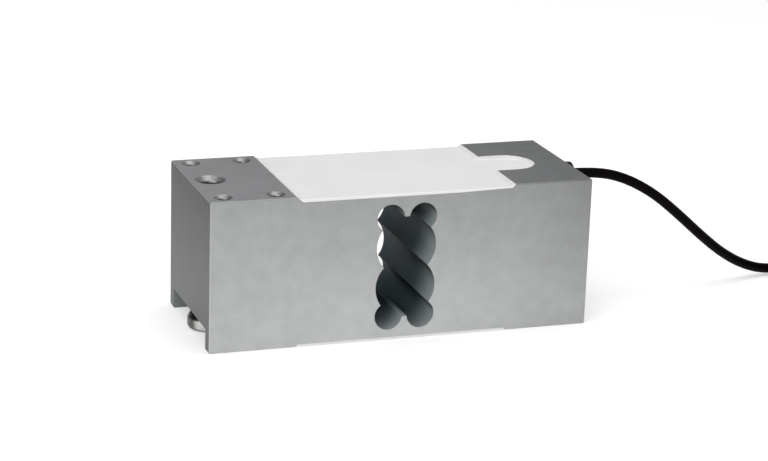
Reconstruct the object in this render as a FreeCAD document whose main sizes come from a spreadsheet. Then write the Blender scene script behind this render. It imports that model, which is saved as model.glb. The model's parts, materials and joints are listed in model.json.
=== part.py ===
"""Single point load cell: machined aluminium block, gauges under potting, stop screw and cable.

Millimetres, +Z up. The origin is the middle of the block's underside, +X points to the cable end.
"""
import FreeCAD, Part
import math
import os
import Sketcher

Vector = FreeCAD.Vector
doc = FreeCAD.newDocument("single_point_load_cell")
sheet = doc.addObject("Spreadsheet::Sheet", "sizes")

# alias, value in mm or degrees, what it is
SIZES = [
    ("body_length", 150, "block along X"),
    ("body_width", 60, "block along Y"),
    ("body_height", 58, "block along Z"),
    ("edge_break", 0.35, "chamfer on the block's outer edges"),
    ("load_pad_length", 32.6, "raised pad at the load end"),
    ("fixed_pad_length", 31.3, "raised pad at the cable end"),
    ("recess_depth", 2.0, "top recess below the pads"),
    ("load_ramp_run", 2.6, "slope from the load pad into the recess"),
    ("fixed_ramp_run", 1.5, "slope from the fixed pad into the recess"),
    ("runout_length", 21, "gentle rise of the recess floor before the fixed ramp"),
    ("runout_rise", 0.55, "how much the floor rises there"),
    ("relief_depth", 1.0, "underside relief between the feet"),
    ("relief_ramp_run", 1.0, "slope of the relief at both feet"),
    ("foot_length_load", 33, "underside foot at the load end"),
    ("foot_length_fixed", 33, "underside foot at the cable end"),
    ("web_thickness", 3.0, "thinnest metal over and under the corner bores"),
    ("window_middle", 0.7, "window centre along X"),
    ("corner_bore_radius", 5.4, "bores that form the four hinges"),
    ("corner_bore_spacing", 12.7, "between the corner bores along X"),
    ("main_bore_radius", 11.7, "two large bores that open the window"),
    ("main_bore_spacing", 15.8, "between the large bores along Z"),
    ("pocket_width", 49, "stop pocket under the load end"),
    ("pocket_depth", 8, "height of the stop pocket"),
    ("pocket_length", 26, "from the end face inwards"),
    ("pocket_corner", 8, "inner corner radius of the stop pocket"),
    ("tap_drill", 5.0, "minor diameter of the mounting threads"),
    ("tap_mouth", 7.2, "countersink at the mounting threads"),
    ("tap_depth", 15, "depth of the blind mounting threads"),
    ("tap_edge_distance", 6.3, "first row of mounting threads to the end face"),
    ("tap_spacing_along", 20, "mounting threads along X"),
    ("tap_spacing_across", 48, "mounting threads along Y"),
    ("stop_drill", 8.5, "minor diameter of the stop thread"),
    ("stop_mouth", 11.8, "countersink at the stop thread"),
    ("stop_from_end", 7.8, "stop thread to the end face"),
    ("drill_point_angle", 118, "drill tip"),
    ("countersink_angle", 90, "all thread mouths"),
    ("slot_width", 21, "round-ended slot in the fixed pad"),
    ("slot_reach", 18.7, "slot tip from the pad's edge"),
    ("slot_depth", 9, "slot floor below the pad"),
    ("wire_bore_radius", 1.6, "bore that joins both recesses"),
    ("wire_bore_from_pad", 10.7, "wire bore to the fixed pad's edge"),
    ("wire_bore_offset", 14, "wire bore along Y"),
    ("cable_diameter", 4.0, "cable jacket"),
    ("cable_below_top", 6, "cable axis below the fixed pad"),
    ("gland_radius", 4.7, "gland flange"),
    ("gland_stand", 4.0, "gland in front of the end face"),
    ("gland_shank_radius", 3.5, "gland part pressed into the block"),
    ("gland_shank_length", 8, "length of that part"),
    ("gland_edge", 0.5, "gland chamfer"),
    ("gland_clearance", 0.1, "round the cable inside the gland"),
    ("seal_radius", 3.2, "rubber seal at the gland's mouth"),
    ("seal_depth", 3.0, "seat of the seal"),
    ("seal_stand", 0.6, "seal in front of the gland"),
    ("entry_clearance", 0.15, "round the cable in the block"),
    ("jacket_end", 2.5, "jacket reaches this far into the slot"),
    ("potting_level", 1.1, "potting surface below the pads"),
    ("potting_coat", 0.5, "potting that climbs the slot's wall and the fixed ramp"),
    ("potting_lip", 0.05, "top of that coat below the pads"),
    ("potting_edge", 0.4, "rounded long edges of the potting"),
    ("bottom_potting_gap", 0.2, "lower potting above the base"),
    ("gauge_length", 8, "gauge backing along X"),
    ("gauge_width", 6, "gauge backing along Y"),
    ("gauge_backing", 0.12, "gauge backing thickness"),
    ("gauge_grid", 0.06, "etched grid thickness"),
    ("gauge_margin", 1.2, "backing around the grid"),
    ("gauge_tab", 1.3, "square solder tabs"),
    ("board_length", 11, "terminal board along X"),
    ("board_width", 14, "terminal board along Y"),
    ("board_thickness", 1.0, "terminal board"),
    ("board_start", 3.2, "board from the pad's edge"),
    ("resistor_length", 3.2, "chip resistors along Y"),
    ("resistor_width", 1.6, "chip resistors along X"),
    ("resistor_thickness", 0.6, "chip resistors"),
    ("resistor_pitch", 4.2, "between chip resistors"),
    ("gauge_wire", 0.3, "bridge wire diameter"),
    ("wire_clearance", 0.05, "film of potting between wires and what they lie on"),
    ("core_diameter", 0.9, "insulated core diameter"),
    ("core_pitch", 1.5, "between the cores at the board"),
    ("stop_head_radius", 8.3, "stop screw's head"),
    ("stop_head_height", 6.35, "stop screw's head"),
    ("stop_head_lower_round", 1.7, "rounding of the head's underside"),
    ("stop_head_upper_round", 2.8, "rounding of the head's top"),
    ("stop_floor_gap", 0.1, "head above the base plane"),
    ("stop_thread_clearance", 0.05, "shank inside the tapped bore"),
    ("stop_length", 30, "shank of the stop screw"),
    ("stop_tip", 0.8, "chamfer at the shank's tip"),
    ("stop_key", 6, "hexagon key across flats"),
    ("stop_key_depth", 3.2, "hexagon key"),
    ("coil_from_gland", 122, "coil centre from the gland's mouth along X"),
    ("coil_y", -20, "coil centre along Y"),
    ("coil_base", 0.65, "coil above the floor, over its tie"),
    ("coil_mean_radius", 23.4, "middle of the turns"),
    ("turn_pitch", 4.1, "from turn to turn"),
    ("turns_across", 4, "turns side by side"),
    ("turn_layers", 4, "turns on each other"),
    ("coil_clearance", 0.05, "coil solid around its turns"),
    ("coil_lead_in", 17, "straight end of the first turn"),
    ("tie_angle", 200, "tie around the coil"),
    ("tie_width", 4, "tie band"),
    ("tie_thickness", 0.6, "tie band"),
    ("tie_clearance", 0.2, "tie on the curved coil"),
    ("tie_head_length", 6, "tie's lock"),
    ("tie_head_height", 2.6, "tie's lock"),
    ("sleeve_radius", 2.5, "shrink sleeve at the jacket's end"),
    ("sleeve_length", 10, "shrink sleeve"),
    ("sleeve_grip", 5, "sleeve over the jacket"),
    ("lead_diameter", 1.3, "insulated leads outside the jacket"),
    ("drain_diameter", 0.9, "bare shield drain"),
    ("tip_diameter", 0.8, "tinned conductor"),
    ("tip_length", 5, "tinned conductor"),
]


def fill_sheet():
    """Write every size into the sheet, one row each."""
    for row, (alias, value, note) in enumerate(SIZES, start=1):
        sheet.set(f"A{row}", note)
        sheet.set(f"B{row}", str(value))
        sheet.setAlias(f"B{row}", alias)
    doc.recompute()


def worth(expression):
    """Value of an expression over the sheet, in mm or degrees."""
    found = sheet.evalExpression(expression)
    return float(getattr(found, "Value", found))


def bind(thing, path, expression):
    """Tie one property of an object to the sheet."""
    thing.setExpression(path, expression)


# ---------------------------------------------------------------- places worked out once
fill_sheet()

LOAD_END = "(-sizes.body_length / 2)"
CABLE_END = "(sizes.body_length / 2)"
LOAD_EDGE = f"({LOAD_END} + sizes.load_pad_length)"
FIXED_EDGE = f"({CABLE_END} - sizes.fixed_pad_length)"
TOP = "sizes.body_height"
FLOOR = "(sizes.body_height - sizes.recess_depth)"
RUNOUT = "(sizes.body_height - sizes.recess_depth + sizes.runout_rise)"
POTTING = "(sizes.body_height - sizes.potting_level)"
RELIEF = "sizes.relief_depth"
SLOT_FLOOR = "(sizes.body_height - sizes.slot_depth)"
SLOT_HALF = "(sizes.slot_width / 2)"
SLOT_CENTRE = f"({FIXED_EDGE} + sizes.slot_reach - sizes.slot_width / 2)"
SLOT_TIP = f"({FIXED_EDGE} + sizes.slot_reach)"
WINDOW_LOW = "(sizes.relief_depth + sizes.web_thickness + sizes.corner_bore_radius)"
WINDOW_HIGH = (
    "(sizes.body_height - sizes.recess_depth - sizes.web_thickness - sizes.corner_bore_radius)"
)
WINDOW_MIDDLE = f"(({WINDOW_LOW} + {WINDOW_HIGH}) / 2)"
STOP_PLACE = f"({LOAD_END} + sizes.stop_from_end)"
GLAND_MOUTH = f"({CABLE_END} + sizes.gland_stand)"
CABLE_HEIGHT = "(sizes.body_height - sizes.cable_below_top)"
WIRE_BORE = f"({FIXED_EDGE} - sizes.wire_bore_from_pad)"
COIL_X = f"({GLAND_MOUTH} + sizes.coil_from_gland)"
CABLE_RADIUS = "(sizes.cable_diameter / 2)"
TURN_HALF_WIDTH = "((sizes.turns_across - 1) / 2 * sizes.turn_pitch)"
COIL_OUTER_TURN = f"(sizes.coil_mean_radius + {TURN_HALF_WIDTH})"
COIL_HALF_SECTION = f"({TURN_HALF_WIDTH} + {CABLE_RADIUS} + sizes.coil_clearance)"
COIL_FIRST_HEIGHT = f"(sizes.coil_base + {CABLE_RADIUS})"
COIL_TOP = (
    f"(sizes.coil_base + (sizes.turn_layers - 1) * sizes.turn_pitch"
    f" + sizes.cable_diameter + sizes.coil_clearance)"
)


# ---------------------------------------------------------------- modelling helpers
def new_body(name):
    body = doc.addObject("PartDesign::Body", name)
    body.Label = name
    return body


def new_sketch(body, name, role, offset="0", turn=None):
    """Sketch on one of the body's own planes, moved along its normal by an expression."""
    sketch = body.newObject("Sketcher::SketchObject", name)
    plane = [feature for feature in body.Origin.OriginFeatures if feature.Role == role][0]
    sketch.AttachmentSupport = [(plane, "")]
    sketch.MapMode = "FlatFace"
    if turn is not None:
        sketch.AttachmentOffset = FreeCAD.Placement(Vector(0, 0, 0), turn)
    bind(sketch, "AttachmentOffset.Base.z", offset)
    return sketch


def pin_point(sketch, geometry, corner, name, across, up):
    """Fix one point of the sketch at two expressions from its origin."""
    for kind, letter, expression in (("DistanceX", "x", across), ("DistanceY", "y", up)):
        constraint = Sketcher.Constraint(kind, -1, 1, geometry, corner, worth(expression))
        index = sketch.addConstraint(constraint)
        sketch.renameConstraint(index, f"{name}_{letter}")
        bind(sketch, f"Constraints.{name}_{letter}", expression)


def draw_outline(sketch, points):
    """Closed outline of straight lines through points given as pairs of expressions."""
    first = sketch.GeometryCount
    places = [Vector(worth(across), worth(up), 0) for across, up in points]
    count = len(places)
    for index in range(count):
        line = Part.LineSegment(places[index], places[(index + 1) % count])
        sketch.addGeometry(line, False)
    for index in range(count):
        following = first + (index + 1) % count
        sketch.addConstraint(Sketcher.Constraint("Coincident", first + index, 2, following, 1))
    for index, (across, up) in enumerate(points):
        pin_point(sketch, first + index, 1, f"point{first + index}", across, up)


def draw_box(sketch, left, right, low, high):
    draw_outline(sketch, [(left, low), (right, low), (right, high), (left, high)])


def draw_circle(sketch, across, up, radius):
    index = sketch.GeometryCount
    centre = Vector(worth(across), worth(up), 0)
    sketch.addGeometry(Part.Circle(centre, Vector(0, 0, 1), worth(radius)), False)
    pin_point(sketch, index, 3, f"centre{index}", across, up)
    size = sketch.addConstraint(Sketcher.Constraint("Radius", index, worth(radius)))
    sketch.renameConstraint(size, f"radius{index}")
    bind(sketch, f"Constraints.radius{index}", radius)


def add_pad(body, name, sketch, length, symmetric=False, backwards=False):
    pad = body.newObject("PartDesign::Pad", name)
    pad.Profile = sketch
    pad.SideType = "Symmetric" if symmetric else "One side"
    pad.Reversed = backwards
    bind(pad, "Length", length)
    doc.recompute()
    return pad


def add_pocket(body, name, sketch, depth, symmetric=False, backwards=False):
    """Cut the sketch out of the body and make sure that it really removed metal."""
    before = body.Tip.Shape.Volume
    pocket = body.newObject("PartDesign::Pocket", name)
    pocket.Profile = sketch
    pocket.SideType = "Symmetric" if symmetric else "One side"
    pocket.Reversed = backwards
    bind(pocket, "Length", depth)
    doc.recompute()
    if pocket.Shape.Volume > before - 1e-6:
        raise ValueError(f"{name} cuts nothing")
    return pocket


def add_revolution(body, name, sketch):
    turned = body.newObject("PartDesign::Revolution", name)
    turned.Profile = sketch
    turned.ReferenceAxis = (sketch, ["V_Axis"])
    turned.Angle = 360
    doc.recompute()
    return turned


def edges_where(shape, wanted):
    return [f"Edge{n}" for n, edge in enumerate(shape.Edges, start=1) if wanted(edge)]


def edge_at(edge, **places):
    """True if the whole edge lies at the given X, Y or Z (absolute value for Y and X pairs)."""
    box = edge.BoundBox
    for axis, value in places.items():
        low, high = getattr(box, f"{axis}Min"), getattr(box, f"{axis}Max")
        if abs(low - value) > 1e-4 or abs(high - value) > 1e-4:
            return False
    return True


def dress(body, kind, name, wanted, size):
    tip = body.Tip
    edges = edges_where(tip.Shape, wanted)
    if not edges:
        raise ValueError(f"{name} finds no edge")
    dressing = body.newObject(f"PartDesign::{kind}", name)
    dressing.Base = (tip, edges)
    bind(dressing, "Radius" if kind == "Fillet" else "Size", size)
    doc.recompute()
    return dressing


def add_holes(body, name, sketch, diameter, mouth, depth=None):
    """Drilled and countersunk holes; without a depth they go right through."""
    doc.recompute()
    before = body.Tip.Shape.Volume
    hole = body.newObject("PartDesign::Hole", name)
    hole.Profile = sketch
    hole.ThreadType = "None"
    hole.HoleCutType = "Countersink"
    bind(hole, "Diameter", diameter)
    bind(hole, "HoleCutDiameter", mouth)
    bind(hole, "HoleCutCountersinkAngle", "sizes.countersink_angle")
    if depth:
        hole.DepthType = "Dimension"
        hole.DrillPoint = "Angled"
        bind(hole, "Depth", depth)
        bind(hole, "DrillPointAngle", "sizes.drill_point_angle")
    else:
        hole.DepthType = "ThroughAll"
    doc.recompute()
    if hole.Shape.Volume > before - 1e-6:
        raise ValueError(f"{name} cuts nothing")
    return hole


def corner_pairs(centre_x, half_x, centre_y, half_y):
    """The four places of a rectangular pattern, as expressions."""
    return [
        (f"{centre_x} {sx} {half_x}", f"{centre_y} {sy} {half_y}")
        for sx in "-+"
        for sy in "-+"
    ]


def part_box(name, corner, lengths):
    """Part::Box whose corner and lengths are expressions."""
    box = doc.addObject("Part::Box", name)
    for path, expression in zip(("Length", "Width", "Height"), lengths):
        bind(box, path, expression)
    for axis, expression in zip("xyz", corner):
        bind(box, f"Placement.Base.{axis}", expression)
    return box


def join(name, pieces):
    """One fused object made of several."""
    joined = doc.addObject("Part::MultiFuse", name)
    joined.Shapes = pieces
    joined.Label = name
    doc.recompute()
    return joined


def cut(name, base, tools):
    """Take each tool in turn out of the base; the last result carries the name."""
    for number, tool in enumerate(tools, start=1):
        last = number == len(tools)
        result = doc.addObject("Part::Cut", name if last else f"{name}_less_{tool.Name}")
        result.Base = base
        result.Tool = tool
        base = result
    doc.recompute()
    base.Label = name
    return base


def corner_radius(before, corner, after):
    """Largest arc that leaves a tenth of the shorter run straight, half of it on each side."""
    share = 0.45
    run_in = corner - before
    run_out = after - corner
    turn = run_in.getAngle(run_out)
    return share * min(run_in.Length, run_out.Length) / math.tan(turn / 2), turn


def rounded_route(points):
    """Wire of straight runs joined by tangent arcs, and the radius of each arc."""
    places = [Vector(*point) for point in points]
    edges, radii = [], []
    start = places[0]
    for before, corner, after in zip(places, places[1:], places[2:]):
        radius, turn = corner_radius(before, corner, after)
        reach = radius * math.tan(turn / 2)
        into = (corner - before).normalize()
        out = (after - corner).normalize()
        first = corner - into * reach
        last = corner + out * reach
        inward = (out - into).normalize()
        middle = corner + inward * (radius / math.cos(turn / 2) - radius)
        edges.append(Part.LineSegment(start, first).toShape())
        edges.append(Part.Arc(first, middle, last).toShape())
        radii.append(radius)
        start = last
    edges.append(Part.LineSegment(start, places[-1]).toShape())
    return Part.Wire(edges), radii


def tube_along(points, diameter):
    """Solid round tube along a rounded route."""
    route, radii = rounded_route(points)
    heading = Vector(*points[1]) - Vector(*points[0])
    ring = Part.Circle(Vector(*points[0]), heading, diameter / 2)
    section = Part.Wire([ring.toShape()])
    tube = route.makePipeShell([section], True, False)
    return tube, route.Length, radii


def add_tube(name, points, diameter, report=False):
    """Part::Feature that holds a tube; its route is a list of chosen points."""
    tube, length, radii = tube_along(points, diameter)
    feature = doc.addObject("Part::Feature", name)
    feature.Label = name
    feature.Shape = tube
    if report:
        expected = math.pi * diameter**2 / 4 * length
        print(f"{name}: radii {[round(radius, 1) for radius in radii]}")
        print(f"{name}: length {length:.1f}, volume {tube.Volume:.1f}, expected {expected:.1f}")
    return feature


# ---------------------------------------------------------------- the block
def make_block():
    body = new_body("load_cell_body")
    side = new_sketch(body, "side_view", "XZ_Plane")
    foot_load = f"({LOAD_END} + sizes.foot_length_load)"
    foot_fixed = f"({CABLE_END} - sizes.foot_length_fixed)"
    draw_outline(
        side,
        [
            (LOAD_END, "0"),
            (foot_load, "0"),
            (f"{foot_load} + sizes.relief_ramp_run", RELIEF),
            (f"{foot_fixed} - sizes.relief_ramp_run", RELIEF),
            (foot_fixed, "0"),
            (CABLE_END, "0"),
            (CABLE_END, TOP),
            (FIXED_EDGE, TOP),
            (f"{FIXED_EDGE} - sizes.fixed_ramp_run", RUNOUT),
            (f"{FIXED_EDGE} - sizes.fixed_ramp_run - sizes.runout_length", FLOOR),
            (f"{LOAD_EDGE} + sizes.load_ramp_run", FLOOR),
            (LOAD_EDGE, TOP),
            (LOAD_END, TOP),
        ],
    )
    add_pad(body, "billet", side, "sizes.body_width", symmetric=True)

    corners = corner_pairs(
        "sizes.window_middle", "sizes.corner_bore_spacing / 2",
        WINDOW_MIDDLE, f"({WINDOW_HIGH} - {WINDOW_LOW}) / 2",
    )
    small = new_sketch(body, "corner_bores_view", "XZ_Plane")
    for across, up in corners:
        draw_circle(small, across, up, "sizes.corner_bore_radius")
    add_pocket(body, "corner_bores", small, "sizes.body_width", symmetric=True)
    for name, sign in (("upper", "+"), ("lower", "-")):
        large = new_sketch(body, f"{name}_bore_view", "XZ_Plane")
        height = f"{WINDOW_MIDDLE} {sign} sizes.main_bore_spacing / 2"
        draw_circle(large, "sizes.window_middle", height, "sizes.main_bore_radius")
        add_pocket(body, f"{name}_bore", large, "sizes.body_width", symmetric=True)

    pocket = new_sketch(body, "stop_pocket_view", "XY_Plane")
    half = "sizes.pocket_width / 2"
    draw_box(pocket, LOAD_END, f"{LOAD_END} + sizes.pocket_length", f"-{half}", half)
    add_pocket(body, "stop_pocket", pocket, "sizes.pocket_depth", backwards=True)
    inner = worth(f"{LOAD_END} + sizes.pocket_length")
    half_width = worth(half)
    dress(
        body, "Fillet", "stop_pocket_corners",
        lambda edge: edge_at(edge, X=inner)
        and (edge_at(edge, Y=half_width) or edge_at(edge, Y=-half_width)),
        "sizes.pocket_corner",
    )

    slot = new_sketch(body, "slot_view", "XY_Plane", TOP)
    draw_box(slot, f"{FIXED_EDGE} - sizes.fixed_ramp_run", SLOT_CENTRE, f"-{SLOT_HALF}", SLOT_HALF)
    add_pocket(body, "slot", slot, "sizes.slot_depth")
    tip = new_sketch(body, "slot_end_view", "XY_Plane", TOP)
    draw_circle(tip, SLOT_CENTRE, "0", SLOT_HALF)
    add_pocket(body, "slot_end", tip, "sizes.slot_depth")

    edges = worth("sizes.body_width / 2")
    ends = worth(CABLE_END)
    height = worth(TOP)

    def outer_edge(edge):
        if len(edge.Vertexes) != 2 or not isinstance(edge.Curve, Part.Line):
            return False
        at_side = edge_at(edge, Y=edges) or edge_at(edge, Y=-edges)
        at_end = edge_at(edge, X=ends) or edge_at(edge, X=-ends)
        at_face = edge_at(edge, Z=height) or edge_at(edge, Z=0)
        return (at_side and at_end) or (at_face and (at_side or at_end))

    dress(body, "Chamfer", "broken_edges", outer_edge, "sizes.edge_break")

    load_rows = f"({LOAD_END} + sizes.tap_edge_distance + sizes.tap_spacing_along / 2)"
    base_rows = f"({CABLE_END} - sizes.tap_edge_distance - sizes.tap_spacing_along / 2)"
    spread = ("sizes.tap_spacing_along / 2", "0", "sizes.tap_spacing_across / 2")
    top_taps = new_sketch(body, "load_taps_view", "XY_Plane", TOP)
    for across, up in corner_pairs(load_rows, *spread):
        draw_circle(top_taps, across, up, "sizes.tap_drill / 2")
    add_holes(body, "load_taps", top_taps, "sizes.tap_drill", "sizes.tap_mouth", "sizes.tap_depth")

    upside_down = FreeCAD.Rotation(Vector(1, 0, 0), 180)
    base_taps = new_sketch(body, "base_taps_view", "XY_Plane", "0", upside_down)
    for across, up in corner_pairs(base_rows, *spread):
        draw_circle(base_taps, across, up, "sizes.tap_drill / 2")
    add_holes(body, "base_taps", base_taps, "sizes.tap_drill", "sizes.tap_mouth", "sizes.tap_depth")

    stop = new_sketch(body, "stop_tap_view", "XY_Plane", TOP)
    draw_circle(stop, STOP_PLACE, "0", "sizes.stop_drill / 2")
    add_holes(body, "stop_tap", stop, "sizes.stop_drill", "sizes.stop_mouth")

    wires = new_sketch(body, "wire_bore_view", "XY_Plane")
    draw_circle(wires, WIRE_BORE, "sizes.wire_bore_offset", "sizes.wire_bore_radius")
    add_pocket(body, "wire_bore", wires, "sizes.body_height", backwards=True)

    seat = new_sketch(body, "gland_seat_view", "YZ_Plane", CABLE_END)
    draw_circle(seat, "0", CABLE_HEIGHT, "sizes.gland_shank_radius")
    add_pocket(body, "gland_seat", seat, "sizes.gland_shank_length")
    entry = new_sketch(body, "cable_entry_view", "YZ_Plane", CABLE_END)
    draw_circle(entry, "0", CABLE_HEIGHT, f"{CABLE_RADIUS} + sizes.entry_clearance")
    add_pocket(body, "cable_entry", entry, f"{CABLE_END} - {SLOT_CENTRE}")
    return body


# ---------------------------------------------------------------- gauges, board and wiring
def make_gauge(name, middle, face, up):
    """Foil gauge on a web: backing, grid and two solder tabs, stacked away from the metal."""
    tab_gap = "sizes.gauge_margin / 4"

    def layer(part, length, width, thickness, left, front, stack):
        low = f"{face} + {stack}" if up > 0 else f"{face} - {stack} - {thickness}"
        return part_box(f"{name}_{part}", (left, front, low), (length, width, thickness))

    left = f"{middle} - sizes.gauge_length / 2"
    front = "-sizes.gauge_width / 2"
    pieces = [
        layer("backing", "sizes.gauge_length", "sizes.gauge_width", "sizes.gauge_backing",
              left, front, "0"),
        layer("grid",
              "sizes.gauge_length - 2 * sizes.gauge_margin - sizes.gauge_tab",
              "sizes.gauge_width - 2 * sizes.gauge_margin", "sizes.gauge_grid",
              f"{left} + sizes.gauge_margin", f"{front} + sizes.gauge_margin",
              "sizes.gauge_backing"),
    ]
    for part, shift in (("tab_a", "- sizes.gauge_tab"), ("tab_b", "")):
        side = f"+ {tab_gap}" if part == "tab_b" else f"- {tab_gap}"
        pieces.append(
            layer(part, "sizes.gauge_tab", "sizes.gauge_tab", "sizes.gauge_grid",
                  f"{middle} + sizes.gauge_length / 2 - {tab_gap} - sizes.gauge_tab",
                  f"0 * sizes.gauge_tab {shift} {side}", "sizes.gauge_backing")
        )
    return join(name, pieces)


def make_gauges():
    gauges = {}
    for level, face, up in (("top", FLOOR, 1), ("bottom", RELIEF, -1)):
        for end, sign in (("load", "-"), ("fixed", "+")):
            middle = f"(sizes.window_middle {sign} sizes.corner_bore_spacing / 2)"
            gauges[level, end] = make_gauge(f"strain_gauge_{level}_{end}", middle, face, up)
    return gauges


def make_board():
    """Terminal board on the slot's floor, with the chip resistors on it."""
    start = f"{FIXED_EDGE} + sizes.board_start"
    board = part_box(
        "terminal_board", (start, "-sizes.board_width / 2", SLOT_FLOOR),
        ("sizes.board_length", "sizes.board_width", "sizes.board_thickness"),
    )
    face = f"{SLOT_FLOOR} + sizes.board_thickness"
    resistors = []
    names = ("span_resistor_supply", "zero_trim_resistor", "span_resistor_return")
    for place, name in enumerate(names, start=-1):
        resistors.append(
            part_box(
                name,
                (f"{start} + sizes.board_length / 2 - sizes.resistor_width",
                 f"{place} * sizes.resistor_pitch - sizes.resistor_length / 2", face),
                ("sizes.resistor_width", "sizes.resistor_length", "sizes.resistor_thickness"),
            )
        )
    return board, resistors


def make_wiring():
    """Bridge wires in the potting and the cable's cores down to the board."""
    wire = worth("sizes.gauge_wire")
    film = worth("sizes.wire_clearance")
    core = worth("sizes.core_diameter")
    tab_top = worth(f"{FLOOR} + sizes.gauge_backing + sizes.gauge_grid")
    tab_bottom = worth(f"{RELIEF} - sizes.gauge_backing - sizes.gauge_grid")
    tab_reach = worth("sizes.gauge_length / 2 - sizes.gauge_margin / 4 - sizes.gauge_tab / 2")
    tab_side = worth("sizes.gauge_margin / 4 + sizes.gauge_tab / 2")
    middle = worth("sizes.window_middle")
    half = worth("sizes.corner_bore_spacing / 2")
    board_left = worth(f"{FIXED_EDGE} + sizes.board_start")
    board_face = worth(f"{SLOT_FLOOR} + sizes.board_thickness")
    board_half = worth("sizes.board_width / 2")
    slot_start = worth(f"{FIXED_EDGE} - sizes.fixed_ramp_run")
    top_run = tab_top + wire / 2 + film
    bottom_run = tab_bottom - wire / 2 - film
    over_edge = worth(RUNOUT) + wire / 2 + film / 2
    landing = board_face + wire / 2 + film

    def down_to_board(side):
        """Over the slot's edge and down to a pad at the board's near edge."""
        return [
            (slot_start + 2, side, over_edge),
            (board_left - 0.9, side, (over_edge + landing) / 2),
            (board_left + 1.0, side, landing),
        ]

    def wire_group(name, routes):
        group = doc.addObject("Part::Feature", name)
        group.Label = name
        group.Shape = Part.makeCompound([tube_along(route, wire)[0] for route in routes])
        return group

    top_routes = []
    for sign, side, place in ((-1, 1, board_half - 3), (1, -1, board_half - 1.4)):
        tab = middle + sign * half + tab_reach
        away = side * place
        start = (tab, side * tab_side, top_run)
        top_routes.append([start, (tab + 6, away, top_run)] + down_to_board(away))
    top_group = wire_group("top_gauge_wires", top_routes)

    bore_x = worth(WIRE_BORE)
    bore_y = worth("sizes.wire_bore_offset")
    bend = 2.5
    bottom_routes = []
    for sign, side in ((-1, 1), (1, -1)):
        tab = middle + sign * half + tab_reach
        row = bore_y + side * wire * 1.5
        away = board_half - 1.4 + side * wire * 2
        bottom_routes.append(
            [
                (tab, side * tab_side, bottom_run),
                (bore_x - 10, row + 0.4, bottom_run),
                (bore_x - bend, row, bottom_run),
                (bore_x, row, bottom_run),
                (bore_x, row, bottom_run + bend),
                (bore_x + 0.2, row, over_edge - bend),
                (bore_x + 0.2, row, over_edge),
                (bore_x + 0.2 + bend, row - 1, over_edge),
            ]
            + down_to_board(away)
        )
    bottom_group = wire_group("bottom_gauge_wires", bottom_routes)

    cable_height = worth(CABLE_HEIGHT)
    jacket = worth(f"{SLOT_TIP} - sizes.jacket_end")
    pitch = worth("sizes.core_pitch")
    board_right = board_left + worth("sizes.board_length")
    cores = []
    for place in (-1.5, -0.5, 0.5, 1.5):
        spread = core * 0.55
        side = math.copysign(spread, place)
        height = cable_height + (spread if abs(place) < 1 else -spread)
        cores.append(
            tube_along(
                [
                    (jacket, side, height),
                    (jacket - 1.3, side, height),
                    (board_right - 0.3, place * pitch, board_face + core / 2 + 0.6),
                    (board_right - 1.8, place * pitch, board_face + core / 2 + film),
                ],
                core,
            )[0]
        )
    core_group = doc.addObject("Part::Feature", "cable_cores")
    core_group.Label = "cable_cores"
    core_group.Shape = Part.makeCompound(cores)
    return top_group, bottom_group, core_group


# ---------------------------------------------------------------- gland and cable end
def make_gland():
    body = new_body("cable_gland")
    flange = new_sketch(body, "gland_flange_view", "YZ_Plane", CABLE_END)
    draw_circle(flange, "0", CABLE_HEIGHT, "sizes.gland_radius")
    add_pad(body, "gland_flange", flange, "sizes.gland_stand")
    shank = new_sketch(body, "gland_shank_view", "YZ_Plane", CABLE_END)
    draw_circle(shank, "0", CABLE_HEIGHT, "sizes.gland_shank_radius")
    add_pad(body, "gland_shank", shank, "sizes.gland_shank_length", backwards=True)
    bore = new_sketch(body, "gland_bore_view", "YZ_Plane", GLAND_MOUTH)
    draw_circle(bore, "0", CABLE_HEIGHT, f"{CABLE_RADIUS} + sizes.gland_clearance")
    add_pocket(body, "gland_bore", bore, "sizes.gland_stand + sizes.gland_shank_length")
    seat = new_sketch(body, "seal_seat_view", "YZ_Plane", GLAND_MOUTH)
    draw_circle(seat, "0", CABLE_HEIGHT, "sizes.seal_radius")
    add_pocket(body, "seal_seat", seat, "sizes.seal_depth")
    mouth = worth(GLAND_MOUTH)
    radius = worth("sizes.gland_radius")
    dress(
        body, "Chamfer", "gland_rim",
        lambda edge: edge_at(edge, X=mouth) and abs(edge.BoundBox.YMax - radius) < 1e-4,
        "sizes.gland_edge",
    )
    return body


def make_seal():
    body = new_body("gland_seal")
    seat = f"{GLAND_MOUTH} - sizes.seal_depth"
    ring = new_sketch(body, "seal_view", "YZ_Plane", seat)
    draw_circle(ring, "0", CABLE_HEIGHT, "sizes.seal_radius")
    draw_circle(ring, "0", CABLE_HEIGHT, CABLE_RADIUS)
    add_pad(body, "seal_ring", ring, "sizes.seal_depth + sizes.seal_stand")
    front = worth(f"{GLAND_MOUTH} + sizes.seal_stand")
    radius = worth("sizes.seal_radius")
    dress(
        body, "Fillet", "seal_round",
        lambda edge: edge_at(edge, X=front) and abs(edge.BoundBox.YMax - radius) < 1e-4,
        "sizes.seal_stand * 0.8",
    )
    return body


def make_inner_end():
    """Jacketed cable from the slot to the gland's mouth."""
    inner = doc.addObject("Part::Cylinder", "cable_inner_end")
    start = f"{SLOT_TIP} - sizes.jacket_end"
    bind(inner, "Radius", CABLE_RADIUS)
    bind(inner, "Height", f"{GLAND_MOUTH} - ({start})")
    inner.Placement = FreeCAD.Placement(
        Vector(0, 0, 0), FreeCAD.Rotation(Vector(0, 0, 1), Vector(1, 0, 0))
    )
    bind(inner, "Placement.Base.x", start)
    bind(inner, "Placement.Base.z", CABLE_HEIGHT)
    return inner


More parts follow.
